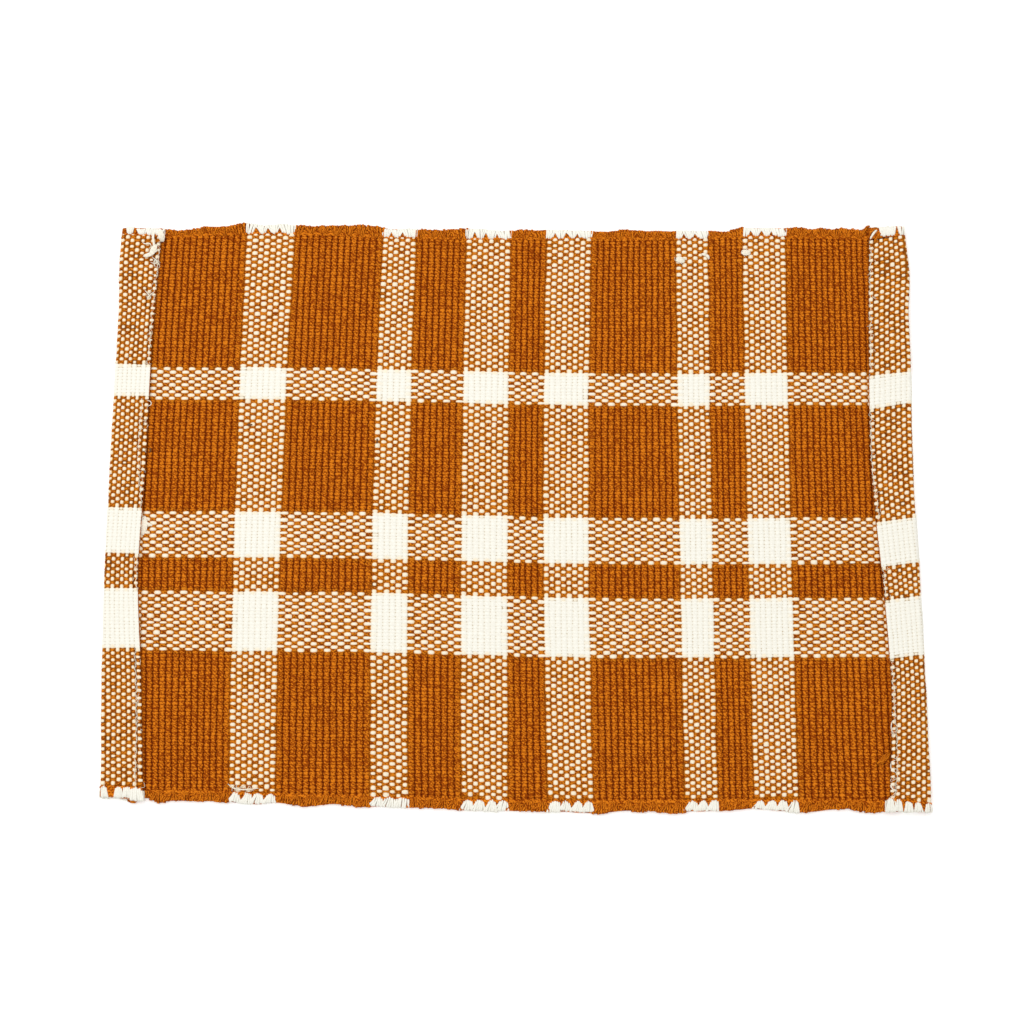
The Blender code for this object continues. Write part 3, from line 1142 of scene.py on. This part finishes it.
def hem_spans(side, edge):
    """The hem's bunches from their table, narrower at their inner ends."""
    left, right = np.array(HEM_BUNCHES[side, edge]).T
    return np.stack([left + BUNCH_INSET, right - BUNCH_INSET, left, right], axis=-1)


def edge_cords(bundle, path, limits, places, first_number):
    """Three rust cords, each of doubled warp, laid side by side between the line and the outline."""
    for number, share in enumerate(CORD_SHARES):
        line, outline = limits(places)
        y = line + (outline - line) * share
        y = y + CORD_WAVE * np.cos(places * CORD_WAVE_RATE + number)
        x, z, normal_x, normal_z = path(places, y)
        up = np.stack([normal_x, 0 * x, normal_z], axis=-1)
        middle = (np.stack([x, y, z], axis=-1) + up * (CORD_LIFT - CORD_STEP * number))[None]
        sideways = np.broadcast_to(np.array([0.0, 1.0, 0.0]), middle.shape)
        half_width = np.maximum(CORD_RADIUS, CORD_SPREAD * np.abs(outline - line))[None]
        rings = tube_rings(middle, sideways, up[None], half_width, CORD_RADIUS, CORD_SIDES)
        bundle.add(rings, RUST, WARP_NUMBER + ROWS + first_number + number, CORD_SIDE_SHADE)


SELVEDGE_LEVEL = {"near": -159.0, "far": 160.0}  # the y at which a pick's x is taken there
BODY_CORD_STATIONS = 2  # for each pick
HEM_CORD_STATIONS = 6


def selvedge(edge):
    """One selvedge: the edge cords and the turned weft of the body and of both hems."""
    bundle = Bundle()
    centre, spans = body_spans(edge)

    def body_limits(place):
        level = np.full(place.shape, SELVEDGE_LEVEL[edge])
        return edge_of_body(edge, body_path(place, level)[0])

    bunches(bundle, edge, body_path, body_limits, spans, PICK_WHITE[centre], 0)
    places = np.linspace(0.0, BODY_PICKS, BODY_CORD_STATIONS * BODY_PICKS)
    edge_cords(bundle, body_path, body_limits, places, 0)
    places = np.linspace(0.0, HEM_PICKS, HEM_CORD_STATIONS * HEM_PICKS)
    first_number = len(centre)
    for number, side in enumerate(("left", "right")):

        def path(place, y, side=side):
            return hem_path(side, place, y)

        def limits(place, side=side):
            return edge_of_hem(side, edge, place)

        spans = hem_spans(side, edge)
        bunches(bundle, edge, path, limits, spans, np.ones(len(spans), bool), first_number)
        edge_cords(bundle, path, limits, places, (number + 1) * len(CORD_SHARES))
        first_number += len(spans)
    return bundle.piece(f"{edge}_selvedge", YARNS)


# The hem's sewing thread: where its line runs, in picks from the cut edge.
STITCH_COLUMNS = ("y", "left", "right")
STITCH_ROWS = (
    (-163.0, 1.2, 0.6),
    (-145.0, 1.3, 1.2),
    (-133.0, 1.1, 1.2),
    (-108.0, 0.9, 0.5),
    (-80.0, 0.9, 0.35),
    (-50.0, 0.3, 0.25),
    (-28.0, 0.3, 0.35),
    (5.0, 0.45, 0.5),
    (20.0, 1.35, 0.2),
    (60.0, 1.4, 0.2),
    (92.0, 0.5, 0.3),
    (119.0, 0.5, 0.3),
    (140.0, 0.2, 0.2),
    (156.0, 0.2, 0.3),
)
stitch_curve = table_curves(STITCH_COLUMNS, STITCH_ROWS)
SEAM_FROM, SEAM_TO, SEAM_STEP = -161.0, 157.0, 0.42
SEAM_WAVES = ((0.12, 0.9, 0.0), (0.08, 2.3, 1.0))  # aside, in picks: amount, rate and phase
SEAM_LEVEL, SEAM_SWAY, SEAM_SWAY_RATE = -0.20, 0.12, 0.13  # over the hem's face
SEAM_HIDDEN = 0.5  # how much deeper it lies over a white band
THREAD_RADIUS = 0.14
THREAD_TURN = 3.7  # mm of seam for one turn of the two plies
THREAD_UNEVEN, THREAD_UNEVEN_RATE = 0.6, 0.21  # of that turn
PLY_REACH = 0.25  # of a ply from the seam's line
PLY_SWAY, PLY_SWAY_RATE = 0.10, 0.37
PLY_JITTER = 0.03
# How far the sewing thread and the loose yarns take on painted light reflected from the other colour.
THREAD_REFLECTED_LIGHT = 0.34
YARN_REFLECTED_LIGHT = 0.2
BAND_LEAN = 1.6  # how much higher the bands lie at the cut edge than in the warp's table

# Loose yarns, in groups of one material: each one's half-width and half-height in the middle, and
# the (x, y, z) that it runs through.
LOOSE_YARNS = (
    # At the left hem's far corner: a drawn weft that hangs from the edge and ends in a knot.
    (WHITE, (
        (1.9, 0.9, (-206.6, 163.0, 3.2), (-205.4, 160.2, 4.6), (-204.4, 157.6, 4.4), (-204.3, 155.6, 3.4)),
        (0.8, 0.5, (-209.2, 163.5, 3.4), (-209.5, 158.4, 4.7), (-208.9, 154.5, 4.8), (-208.4, 151.8, 4.6)),
        (1.7, 0.9, (-207.3, 153.6, 4.5), (-208.9, 150.4, 4.9), (-210.4, 147.0, 4.5)),
        (1.4, 0.8, (-206.9, 150.9, 4.5), (-210.6, 147.6, 4.9), (-214.6, 146.6, 4.5)),
        (0.3, 0.3, (-215.6, 154.8, 4.2), (-213.6, 153.9, 4.6), (-211.4, 154.2, 4.6), (-210.2, 152.6, 4.5)),
        (0.2, 0.2, (-209.6, 146.2, 4.6), (-206.6, 143.4, 4.8), (-205.2, 141.0, 3.4)),
        (0.2, 0.2, (-207.6, 140.2, 4.3), (-208.2, 143.0, 4.8), (-206.4, 145.9, 4.6)),
        (0.2, 0.2, (-210.4, 143.0, 4.4), (-207.4, 142.2, 4.8), (-205.6, 144.4, 4.4)),
        (0.2, 0.2, (-213.0, 126.4, 4.4), (-211.0, 124.2, 4.7), (-209.2, 121.6, 4.4)),
        (0.2, 0.2, (-211.6, 120.8, 4.4), (-209.6, 123.4, 4.7), (-207.4, 125.8, 4.2)),
        (0.22, 0.22, (-209.0, 61.6, 4.3), (-206.9, 61.0, 4.6), (-206.5, 59.4, 4.0), (-208.2, 58.2, 4.3)),
        # A worn patch beside the left hem.
        (2, 0.3, (-208.3, -4.4, 1.8), (-207.9, -9.6, 2.1), (-208.8, -15.4, 1.8)),
        (0.9, 0.3, (-207.6, -8.0, 1.9), (-205.6, -9.2, 2.2), (-203.4, -10.0, 1.9)),
        # A drawn thread along the near edge.
        (
            0.26, 0.26,
            (-155.6, -153.0, 2.0), (-151.4, -155.6, 2.4), (-145.0, -156.0, 2.4), (-138.4, -155.2, 2.0),
        ),
    )),
    (RUST, (
        (
            0.8, 0.7,
            (-210.9, -160.4, 1.2), (-209.6, -162.6, 1.4), (-206.6, -163.2, 1.4), (-204.6, -161.6, 1.2),
        ),
    )),
    # Loops of thread at the right hem's near end.
    (WHITE, (
        (0.24, 0.24, (212.4, -114.4, 4.3), (210.6, -116.2, 3.6), (210.3, -120.0, 3.4), (211.6, -122.6, 4.3)),
        (0.24, 0.24, (211.8, -136.8, 4.4), (209.8, -138.0, 3.6), (209.6, -141.4, 3.5), (212.0, -143.6, 4.4)),
        (0.5, 0.4, (210.2, -148.6, 3.2), (209.2, -150.8, 3.6), (210.2, -152.6, 4.0), (212.0, -153.4, 4.4)),
        # Threads drawn over the right hem's far corner.
        (0.75, 0.5, (209.6, 166.6, 3.4), (207.4, 164.2, 4.7), (205.2, 160.6, 4.5)),
    )),
    (RUST, (
        (0.8, 0.6, (212.0, 165.8, 2.6), (210.6, 163.6, 4.4), (208.4, 160.8, 4.6), (207.6, 158.2, 4.2)),
        (0.8, 0.6, (210.2, 168.0, 2.0), (208.0, 167.2, 3.6), (205.6, 164.6, 4.4), (204.6, 161.8, 3.4)),
        (0.8, 0.6, (206.0, 169.4, 1.6), (204.4, 168.8, 2.4), (202.6, 166.4, 2.7), (201.4, 163.6, 2.0)),
    )),
    # Slubs, where a yarn was spun thick.
    (WHITE, (
        (2, 0.6, (93.2, 149.0, 1.9), (95.8, 147.8, 2.4), (98.2, 147.6, 1.9)),
        (0.9, 0.4, (108.0, 151.8, 1.9), (109.6, 151.2, 2.3), (111.0, 150.8, 1.9)),
        (0.9, 0.4, (110.6, 151.2, 1.9), (111.6, 150.0, 2.3), (112.2, 148.6, 1.9)),
        (1.9, 0.6, (131.0, 153.0, 1.9), (133.6, 152.6, 2.4), (136.4, 152.6, 1.9)),
    )),
    (RUST, (
        (1.7, 0.6, (202.4, -139.6, 1.9), (205.6, -136.4, 2.4), (209.4, -132.6, 1.9)),
    )),
    # Seed husks spun into the yarn.
    (HUSK, (
        (0.5, 0.3, (-77.9, 38.4, 2.0), (-77.4, 39.8, 2.2), (-77.6, 41.2, 2.0)),
        (0.5, 0.3, (-206.6, 31.8, 2.0), (-206.2, 33.2, 2.2), (-206.5, 34.8, 2.0)),
        (0.6, 0.3, (-151.6, 49.0, 2.0), (-150.2, 48.4, 2.2), (-148.9, 48.7, 2.0)),
    )),
)
LOOSE_STATIONS = 14
HANK_STRAND = 0.323  # the half-width of yarn that one strand of a hank takes up
HANK_OVERLAP = 1.25  # a strand's half-width, as a share of its place in the hank
HANK_INSET = 0.6  # how far the outer strands stay inside the hank, in their half-widths
HANK_DOME = 0.6  # how high the middle strands lie, in the hank's half-heights
HANK_RIPPLE = 0.10
TAPER_LEAST = 0.2  # a loose yarn's thickness at its tips
TAPER_CUT = 0.05

# Patches of fuzz: the middle (x, y, z), how far they reach along x and y, and how many fibres.
FUZZ = (
    (-207.6, -10.0, 2.0, 2.0, 4.6, 8),
    (-208.6, 149.6, 4.6, 2.6, 3.0, 14),
    (-207.4, 142.6, 4.3, 1.6, 3.0, 9),
    (-210.4, 123.6, 4.2, 1.8, 2.4, 9),
    (211.0, -118.6, 4.2, 1.2, 4.0, 5),
    (211.4, -146.0, 4.2, 1.6, 6.0, 8),
    (95.8, 148.0, 2.1, 2.6, 1.8, 8),
    (133.8, 152.8, 2.1, 2.6, 1.8, 8),
    (-147.0, -155.6, 2.0, 6.0, 1.0, 16),
)
FIBRE_RADIUS = 0.11


def along_curve(points, stations):
    """Evenly numbered places on the smooth curve through a few points."""
    points = np.array(points, float)
    own = np.arange(len(points), dtype=float)
    at = np.linspace(0, len(points) - 1, stations)
    return np.stack([smooth_through(at, own, points[:, k]) for k in range(3)], axis=-1)


def level_across(ahead):
    """Level unit vectors square to the directions `ahead`."""
    level = np.stack([-ahead[..., 1], ahead[..., 0], 0 * ahead[..., 0]], axis=-1)
    return level / np.linalg.norm(level, axis=-1, keepdims=True)


def curve_rings(middle, half_width, half_height, sides=TUBE_SIDES):
    """Rings round curves that lie more or less flat: their width level, their height square to it."""
    ahead = np.gradient(middle, axis=1)
    level = level_across(ahead)
    ahead /= np.linalg.norm(ahead, axis=-1, keepdims=True)
    return tube_rings(middle, level, np.cross(ahead, level), half_width, half_height, sides)


def over_white_warp(y):
    """Whether a place on a hem is in a white band, where white thread doesn't show."""
    row = np.clip(np.searchsorted(ROW_Y, y - BAND_LEAN) - 1, 0, ROWS - 1)
    return WARP_WHITE[row]


def seam(bundle, side, number):
    """The hem's sewing thread: two plies twisted round a line along the cut edge.

    A ply is line + 0.25 (cos, sin) of its turn, one turn to 3.7 mm, so that it dips into the cloth.
    """
    y = np.arange(SEAM_FROM, SEAM_TO, SEAM_STEP)
    place = stitch_curve(side, y)
    for amount, rate, phase in SEAM_WAVES:
        place = place + amount * np.cos(y * rate + phase)
    x, z, _, _ = hem_path(side, place, y)
    z = z + HALF_CLOTH + SEAM_LEVEL + SEAM_SWAY * np.cos(y * SEAM_SWAY_RATE)
    z = z - SEAM_HIDDEN * over_white_warp(y)
    reach = PLY_REACH + PLY_SWAY * np.cos(y * PLY_SWAY_RATE) + rng.normal(0, PLY_JITTER, y.shape)
    across, _, upward = (axis + np.zeros((1, len(y), 3)) for axis in np.eye(3))
    for ply in range(2):
        turn = 2 * math.pi * y / THREAD_TURN + math.pi * ply
        turn = turn + THREAD_UNEVEN * np.cos(y * THREAD_UNEVEN_RATE)
        middle = np.stack([x + reach * np.cos(turn), y, z + reach * np.sin(turn)], axis=-1)[None]
        rings = tube_rings(middle, across, upward, THREAD_RADIUS, THREAD_RADIUS, THREAD_SIDES)
        bundle.add(rings, WHITE, number + ply, THREAD_SIDE_SHADE, THREAD_REFLECTED_LIGHT)


FIBRE_STATIONS = 7
FIBRE_SHORTEST = 0.45  # as a share of the longest
FIBRE_BEND = 0.5
FIBRE_DROOP = 0.4  # how far a fibre's ends lie under its middle
FRAYS = 80
FRAY_SPAN = (-160.0, 156.0)
FRAY_PLACES = (-0.05, 1.2)  # in picks from the cut edge
FRAY_LEVEL, FRAY_HIDDEN = 0.2, 0.8  # over the hem's face, and how much deeper over a white band
FRAY_TURN = 0.7  # how far a fray's heading strays from along the seam, in radians
FRAY_REACH = 1.6
FUZZ_REACH = 1.7
FUZZ_RISE = (0.1, 0.5)


def fibres(bundle, x, y, z, heading, longest, number):
    """Short loose fibres, each a low arch: reach t along its heading and bend (1 - t^2) aside."""
    count = len(x)
    half = rng.uniform(FIBRE_SHORTEST, 1.0, count) * longest
    bend = rng.normal(0, FIBRE_BEND, count)
    t = np.linspace(-1, 1, FIBRE_STATIONS)
    reach = half[:, None] * t
    aside = (bend * half)[:, None] * (1 - t**2)
    cos, sin = np.cos(heading)[:, None], np.sin(heading)[:, None]
    middle = np.stack([
        x[:, None] + reach * cos - aside * sin,
        y[:, None] + reach * sin + aside * cos,
        z[:, None] - FIBRE_DROOP * t**2,
    ], axis=-1)
    rings = curve_rings(middle, FIBRE_RADIUS, FIBRE_RADIUS, THREAD_SIDES)
    bundle.add(rings, WHITE, number + np.arange(count), THREAD_SIDE_SHADE, THREAD_REFLECTED_LIGHT)


def frays(bundle, side, number):
    """Loose fibres along a hem's cut edge."""
    y = rng.uniform(*FRAY_SPAN, FRAYS)
    place = rng.uniform(*FRAY_PLACES, FRAYS)
    x, z, _, _ = hem_path(side, place, y)
    z = z + HALF_CLOTH + FRAY_LEVEL - FRAY_HIDDEN * over_white_warp(y)
    fibres(bundle, x, y, z, rng.normal(math.pi / 2, FRAY_TURN, FRAYS), FRAY_REACH, number)


def fuzz(bundle, number):
    """Loose fibres scattered over each worn or knotted place."""
    for x, y, z, reach_x, reach_y, count in FUZZ:
        angle = rng.uniform(0, 2 * math.pi, count)
        out = np.sqrt(rng.random(count))
        fibres(
            bundle,
            x + reach_x * out * np.cos(angle),
            y + reach_y * out * np.sin(angle),
            z + rng.uniform(*FUZZ_RISE, count),
            rng.uniform(0, math.pi, count),
            FUZZ_REACH,
            number,
        )
        number += count


def loose_yarns(bundle, number):
    """Each loose yarn: one strand, or where it is thick a hank of strands side by side on a dome.

    A strand is at u from -1 to 1 across the hank: u half-widths aside and sqrt(1 - u^2)
    half-heights up, both drawn in towards the ends.
    """
    along = np.linspace(TAPER_CUT, math.pi - TAPER_CUT, LOOSE_STATIONS)
    taper = TAPER_LEAST + (1 - TAPER_LEAST) * np.sqrt(np.sin(along))
    for material, yarns in LOOSE_YARNS:
        for half_width, half_height, *points in yarns:
            middle = along_curve(points, LOOSE_STATIONS)
            strands = max(1, round(half_width / HANK_STRAND))
            own = half_width / strands * HANK_OVERLAP
            u = (2 * np.arange(strands) + 1) / strands - 1
            ripple = rng.normal(0, HANK_RIPPLE, (strands, LOOSE_STATIONS)) * (strands > 1)
            aside = (u * (half_width - own * HANK_INSET))[:, None] * taper + ripple
            up = (np.sqrt(1 - u**2) * half_height)[:, None] * taper * HANK_DOME
            level = level_across(np.gradient(middle, axis=0))
            middle = middle + level * aside[..., None] + np.array([0, 0, 1.0]) * up[..., None]
            rings = curve_rings(middle, own * taper, min(own, half_height) * taper)
            bundle.add(rings, material, number + np.arange(strands), HANK_SIDE_SHADE, YARN_REFLECTED_LIGHT)
            number += strands


def stitching():
    """The sewing thread of both hems, the frayed fibres beside it and the loose yarns."""
    bundle = Bundle()
    number = THREAD_NUMBER
    for side in ("left", "right"):
        seam(bundle, side, number)
        frays(bundle, side, number + 2)
        number += 2 + FRAYS
    fuzz(bundle, number)
    loose_yarns(bundle, number + sum(patch[-1] for patch in FUZZ))
    return bundle.piece("hem_stitching", (*YARNS, SEED_HUSK))


# ---------------------------------------------------------------------------------------------
# Materials
# ---------------------------------------------------------------------------------------------
def sockets(group, in_out, kind, *names):
    """Adds sockets of one kind to a node group's inputs or outputs."""
    for name in names:
        group.interface.new_socket(name=name, in_out=in_out, socket_type="NodeSocket" + kind)


def node(tree, kind, inputs=(), output=0, **values):
    """A new node's output, with its settings, and its inputs set to a number or fed by a socket."""
    made = tree.nodes.new("ShaderNode" + kind)
    for key, value in values.items():
        setattr(made, key, value)
    for key, value in dict(inputs).items():
        if isinstance(value, bpy.types.NodeSocket):
            tree.links.new(value, made.inputs[key])
        else:
            made.inputs[key].default_value = value
    return made.outputs[output]


# Spun cotton: lengths in mm along the yarn, and widths in half-widths across it.
PLY_ALONG, PLY_ACROSS = 3.1, 4.2  # radians of the plies' twist
# The twist's streaks: painted shade in the colour, and bump height.
PLY_SHADE, PLY_HEIGHT = 0.06, 0.35
FIBRE_SCALE, FIBRE_ACROSS, FIBRE_DETAIL = 1.1, 1.5, 3.0
BLOTCH_SCALE, BLOTCH_ALONG, BLOTCH_DETAIL, BLOTCH_SHADE = 1.0, 0.3, 2.0, 0.45
# A float's colour darkens towards its borders: painted shade of its dome.
REACH_SHADE, SHADE_LIFT = -0.10, 0.03
TONE_FROM, TONE_TO = 0.42, 0.60
FLECK_SCALE, FLECK_ACROSS, FLECK_DETAIL = 2.6, 2.0, 1.0
FLECK_FROM, FLECK_TO = 0.62, 0.72
GROOVE_FIBRE, GROOVE_BLOTCH, PIT_BLOTCH = 1.2, 0.6, 1.6  # how uneven the edges of the painted groove shade and pit shade are
MEETING_FROM, MEETING_TO = 0.35, 0.85
YARN_SPREAD = 7.31  # keeps each yarn's noise apart from the next one's


def spun_cotton():
    """Soft spun cotton yarn from its maps: fine twisted plies, fibres, and painted shade in the grooves
    between floats.

    The painted groove shade is a smooth step of |p|^s + row share x |q|^s + a little noise, where p and q
    run from -1 to 1 across the float and s is its squareness, and the deeper painted shade of the pit at its
    corners is a step further on. Where rust and white floats meet the groove shade has a colour of its own,
    the rust yarn seen there in painted shade, and the yarn takes on painted light reflected from the other
    colour. The twist's streaks and a float's darkening towards its borders are painted shade too.
    """
    group = bpy.data.node_groups.new("spun_cotton", "ShaderNodeTree")
    sockets(group, "INPUT", "Vector", "Yarn", "Float")
    sockets(group, "INPUT", "Float", "Colours Meet")
    sockets(group, "INPUT", "Color", "Light", "Dark", "Fleck", "Groove Shade", "Meeting Groove", "Pit Shade")
    sockets(group, "INPUT", "Color", "Meeting Pit", "Reflected Light")
    sockets(group, "INPUT", "Float", "Squareness", "Row Share", "Groove From", "Groove To")
    sockets(group, "INPUT", "Float", "Pit From", "Pit To", "Fleck Amount")
    sockets(group, "OUTPUT", "Color", "Colour")
    sockets(group, "OUTPUT", "Float", "Height")
    given = group.nodes.new("NodeGroupInput").outputs
    leave = group.nodes.new("NodeGroupOutput")

    def calc(operation, *inputs):
        return node(group, "Math", enumerate(inputs), operation=operation)

    def parts(vector):
        made = group.nodes.new("ShaderNodeSeparateXYZ")
        group.links.new(vector, made.inputs[0])
        return made.outputs[0], made.outputs[1]

    def noise(x, y, z, scale, detail):
        place = node(group, "CombineXYZ", enumerate((x, y, z)))
        return node(group, "TexNoise", {"Vector": place, "Scale": scale, "Detail": detail})

    def step(value, low, high):
        inputs = {"Value": value, "From Min": low, "From Max": high}
        return node(group, "MapRange", inputs, interpolation_type="SMOOTHSTEP")

    def mix(factor, first, second, blend_type="MIX"):
        inputs = {"Factor": factor, 6: first, 7: second}
        return node(group, "Mix", inputs, 2, data_type="RGBA", blend_type=blend_type)

    along, place = parts(given["Yarn"])
    number = calc("ROUND", calc("DIVIDE", place, YARN_STEP))
    across = calc("SUBTRACT", place, calc("MULTIPLY", number, YARN_STEP))
    own = calc("MULTIPLY", number, YARN_SPREAD)
    p, q = (calc("POWER", calc("ABSOLUTE", v), given["Squareness"]) for v in parts(given["Float"]))
    reach = calc("MULTIPLY_ADD", q, given["Row Share"], p)
    meet = given["Colours Meet"]

    ply = calc("SINE", calc("MULTIPLY_ADD", across, PLY_ACROSS, calc("MULTIPLY", along, PLY_ALONG)))
    fibre = noise(along, calc("MULTIPLY", across, FIBRE_ACROSS), own, FIBRE_SCALE, FIBRE_DETAIL)
    blotch = noise(calc("MULTIPLY", along, BLOTCH_ALONG), own, own, BLOTCH_SCALE, BLOTCH_DETAIL)
    blotch = calc("SUBTRACT", blotch, 0.5)
    # The tone: random fibre and blotch tone, with painted shade from the twist's streaks and towards the
    # float's borders.
    shade = calc("MULTIPLY_ADD", ply, PLY_SHADE, fibre)
    shade = calc("MULTIPLY_ADD", blotch, BLOTCH_SHADE, shade)
    shade = calc("MULTIPLY_ADD", reach, REACH_SHADE, calc("ADD", shade, SHADE_LIFT))
    colour = mix(step(shade, TONE_FROM, TONE_TO), given["Dark"], given["Light"])
    bits = noise(along, calc("MULTIPLY", across, FLECK_ACROSS), own, FLECK_SCALE, FLECK_DETAIL)
    fleck = calc("MULTIPLY", step(bits, FLECK_FROM, FLECK_TO), given["Fleck Amount"])
    colour = mix(fleck, colour, given["Fleck"])
    # Where colours meet, painted light reflected from the other colour tints the yarn.
    colour = mix(step(meet, 0.0, WEFT_MEETING), colour, given["Reflected Light"], "MULTIPLY")

    # Painted shade in the groove between floats, and deeper painted shade in the pit at its corners.
    uneven = calc("MULTIPLY_ADD", calc("SUBTRACT", fibre, 0.5), GROOVE_FIBRE, reach)
    uneven = calc("MULTIPLY_ADD", blotch, GROOVE_BLOTCH, uneven)
    meeting_share = step(meet, MEETING_FROM, MEETING_TO)
    groove = mix(meeting_share, given["Groove Shade"], given["Meeting Groove"])
    colour = mix(step(uneven, given["Groove From"], given["Groove To"]), colour, groove)
    loose = calc("MULTIPLY_ADD", blotch, PIT_BLOTCH, reach)
    pit = mix(meeting_share, given["Pit Shade"], given["Meeting Pit"])
    colour = mix(step(loose, given["Pit From"], given["Pit To"]), colour, pit)
    group.links.new(colour, leave.inputs["Colour"])
    group.links.new(calc("MULTIPLY_ADD", ply, PLY_HEIGHT, fibre), leave.inputs["Height"])
    return group


def cotton_material(name, group, colours, numbers):
    """Matte cotton: the spun_cotton group gives its colour and its bump."""
    material = bpy.data.materials.new(name)
    material.use_nodes = True
    tree = material.node_tree
    shader = tree.nodes["Principled BSDF"]
    shader.inputs["Roughness"].default_value = COTTON_ROUGHNESS
    shader.inputs["Specular IOR Level"].default_value = COTTON_SPECULAR
    yarn = tree.nodes.new("ShaderNodeGroup")
    yarn.node_tree = group
    maps = {
        "Yarn": node(tree, "UVMap", uv_map=YARN_MAP),
        "Float": node(tree, "UVMap", uv_map=FLOAT_MAP),
        "Colours Meet": node(tree, "Attribute", output="Fac", attribute_name=MEETING),
    }
    for socket, value in maps.items():
        tree.links.new(value, yarn.inputs[socket])
    for socket, colour in colours.items():
        yarn.inputs[socket].default_value = (*colour, 1.0)
    for socket, value in numbers.items():
        yarn.inputs[socket].default_value = value
    height = {"Strength": BUMP_STRENGTH, "Distance": BUMP_DEPTH * MM, "Height": yarn.outputs["Height"]}
    tree.links.new(yarn.outputs["Colour"], shader.inputs["Base Color"])
    tree.links.new(node(tree, "Bump", height), shader.inputs["Normal"])
    return material


def plain_material(name, colour, roughness, glow=0.0):
    """One even colour, with a faint white glow of its own where `glow` is given."""
    material = bpy.data.materials.new(name)
    material.use_nodes = True
    shader = material.node_tree.nodes["Principled BSDF"]
    shader.inputs["Base Color"].default_value = (*colour, 1.0)
    shader.inputs["Roughness"].default_value = roughness
    shader.inputs["Emission Color"].default_value = (1.0, 1.0, 1.0, 1.0)
    shader.inputs["Emission Strength"].default_value = glow
    return material


COTTON_ROUGHNESS = 0.85
COTTON_SPECULAR = 0.04
BUMP_STRENGTH = 0.6
BUMP_DEPTH = 0.12
COTTON = spun_cotton()
# Light and Dark span the yarn's random tone and also its painted dome shade. The groove and pit colours are
# painted shade between floats, and where colours meet they are the rust yarn's own colour in painted shade.
# The last colour is painted light reflected from the other colour.
RUST_COLOURS = {
    "Light": (0.71, 0.202, 0.009),
    "Dark": (0.255, 0.042, 0.001),
    "Fleck": (0.20, 0.065, 0.002),
    "Groove Shade": (0.125, 0.0145, 0.0001),
    "Meeting Groove": (0.35, 0.102, 0.003),
    "Pit Shade": (0.07, 0.008, 0.0001),
    "Meeting Pit": (0.12, 0.022, 0.0005),
    "Reflected Light": (0.88, 0.95, 1.0),
}
WHITE_COLOURS = {
    "Light": (0.895, 0.875, 0.79),
    "Dark": (0.84, 0.815, 0.725),
    "Fleck": (0.76, 0.73, 0.64),
    "Groove Shade": (0.83, 0.80, 0.70),
    "Meeting Groove": (0.63, 0.255, 0.012),
    "Pit Shade": (0.46, 0.35, 0.21),
    "Meeting Pit": (0.22, 0.07, 0.008),
    "Reflected Light": (1.01, 0.93, 0.805),
}
RUST_NUMBERS = {
    "Squareness": 3.0,
    "Row Share": 0.60,
    "Groove From": 0.26,
    "Groove To": 1.05,
    "Pit From": 0.9,
    "Pit To": 1.7,
    "Fleck Amount": 0.5,
}
WHITE_NUMBERS = {
    "Squareness": 2.3,
    "Row Share": 0.74,
    "Groove From": 0.24,
    "Groove To": 1.04,
    "Pit From": 1.05,
    "Pit To": 1.75,
    "Fleck Amount": 0.4,
}
YARNS = (
    cotton_material("rust_yarn", COTTON, RUST_COLOURS, RUST_NUMBERS),
    cotton_material("white_yarn", COTTON, WHITE_COLOURS, WHITE_NUMBERS),
)
SEED_HUSK = plain_material("seed_husk", colour=(0.13, 0.05, 0.008), roughness=0.8)


# ---------------------------------------------------------------------------------------------
# Floor and light
# ---------------------------------------------------------------------------------------------
HALF_FLOOR = 3.0
FLOOR_COLOUR = (0.97, 0.97, 0.96)
FLOOR_ROUGHNESS = 0.9
FLOOR_GLOW = 0.13
KEY_SIZE = 2.2
KEY_PLACE = (-0.45, 0.55, 1.5)
KEY_WATTS = 21.0
WORLD_STRENGTH = 0.72


def floor():
    """The level pale square that the mat lies on."""
    mesh = bpy.data.meshes.new("floor")
    turns = ((-1, -1), (1, -1), (1, 1), (-1, 1))
    mesh.from_pydata([(HALF_FLOOR * x, HALF_FLOOR * y, 0) for x, y in turns], [], [(0, 1, 2, 3)])
    made = link(mesh, [plain_material("pale_floor", FLOOR_COLOUR, FLOOR_ROUGHNESS, FLOOR_GLOW)])


def light():
    """A broad soft box overhead, a little to the far left, and an even pale surround."""
    data = bpy.data.lights.new("soft_box", "AREA")
    data.size = KEY_SIZE
    data.energy = KEY_WATTS
    lamp = bpy.data.objects.new("soft_box", data)
    x, y, z = KEY_PLACE
    lamp.location = KEY_PLACE
    lamp.rotation_euler = (-math.atan2(y, z), math.atan2(x, z), 0.0)
    bpy.context.scene.collection.objects.link(lamp)
    world = bpy.data.worlds.new("surround")
    world.use_nodes = True
    background = world.node_tree.nodes["Background"]
    background.inputs["Color"].default_value = (1.0, 1.0, 1.0, 1.0)
    background.inputs["Strength"].default_value = WORLD_STRENGTH
    bpy.context.scene.world = world
    bpy.context.scene.view_settings.view_transform = "Standard"


# ---------------------------------------------------------------------------------------------
# Everything, in place
# ---------------------------------------------------------------------------------------------
BODY_STRIPS = (23, 20, 22, 22, 20, 15)


def declare(piece):
    """Every piece rides on the mat and stands for its node."""
    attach(piece, BODY)
    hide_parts(NODE)


def cloth():
    """The whole mat: its edges and stitching, the body's strips side by side, and both hems."""
    edges = [selvedge("near"), selvedge("far"), stitching()]
    for piece in edges:
        declare(piece)
    first = 0
    body = []
    for number, picks in enumerate(BODY_STRIPS, start=1):
        body.append(body_strip(f"cloth_body_{number}", first, picks))
        declare(body[-1])
        first += picks
    declare(hem("cloth_left_hem", "left", LEFT_HEM_FIRST))
    declare(hem("cloth_right_hem", "right", RIGHT_HEM_FIRST))


floor()
light()
cloth()
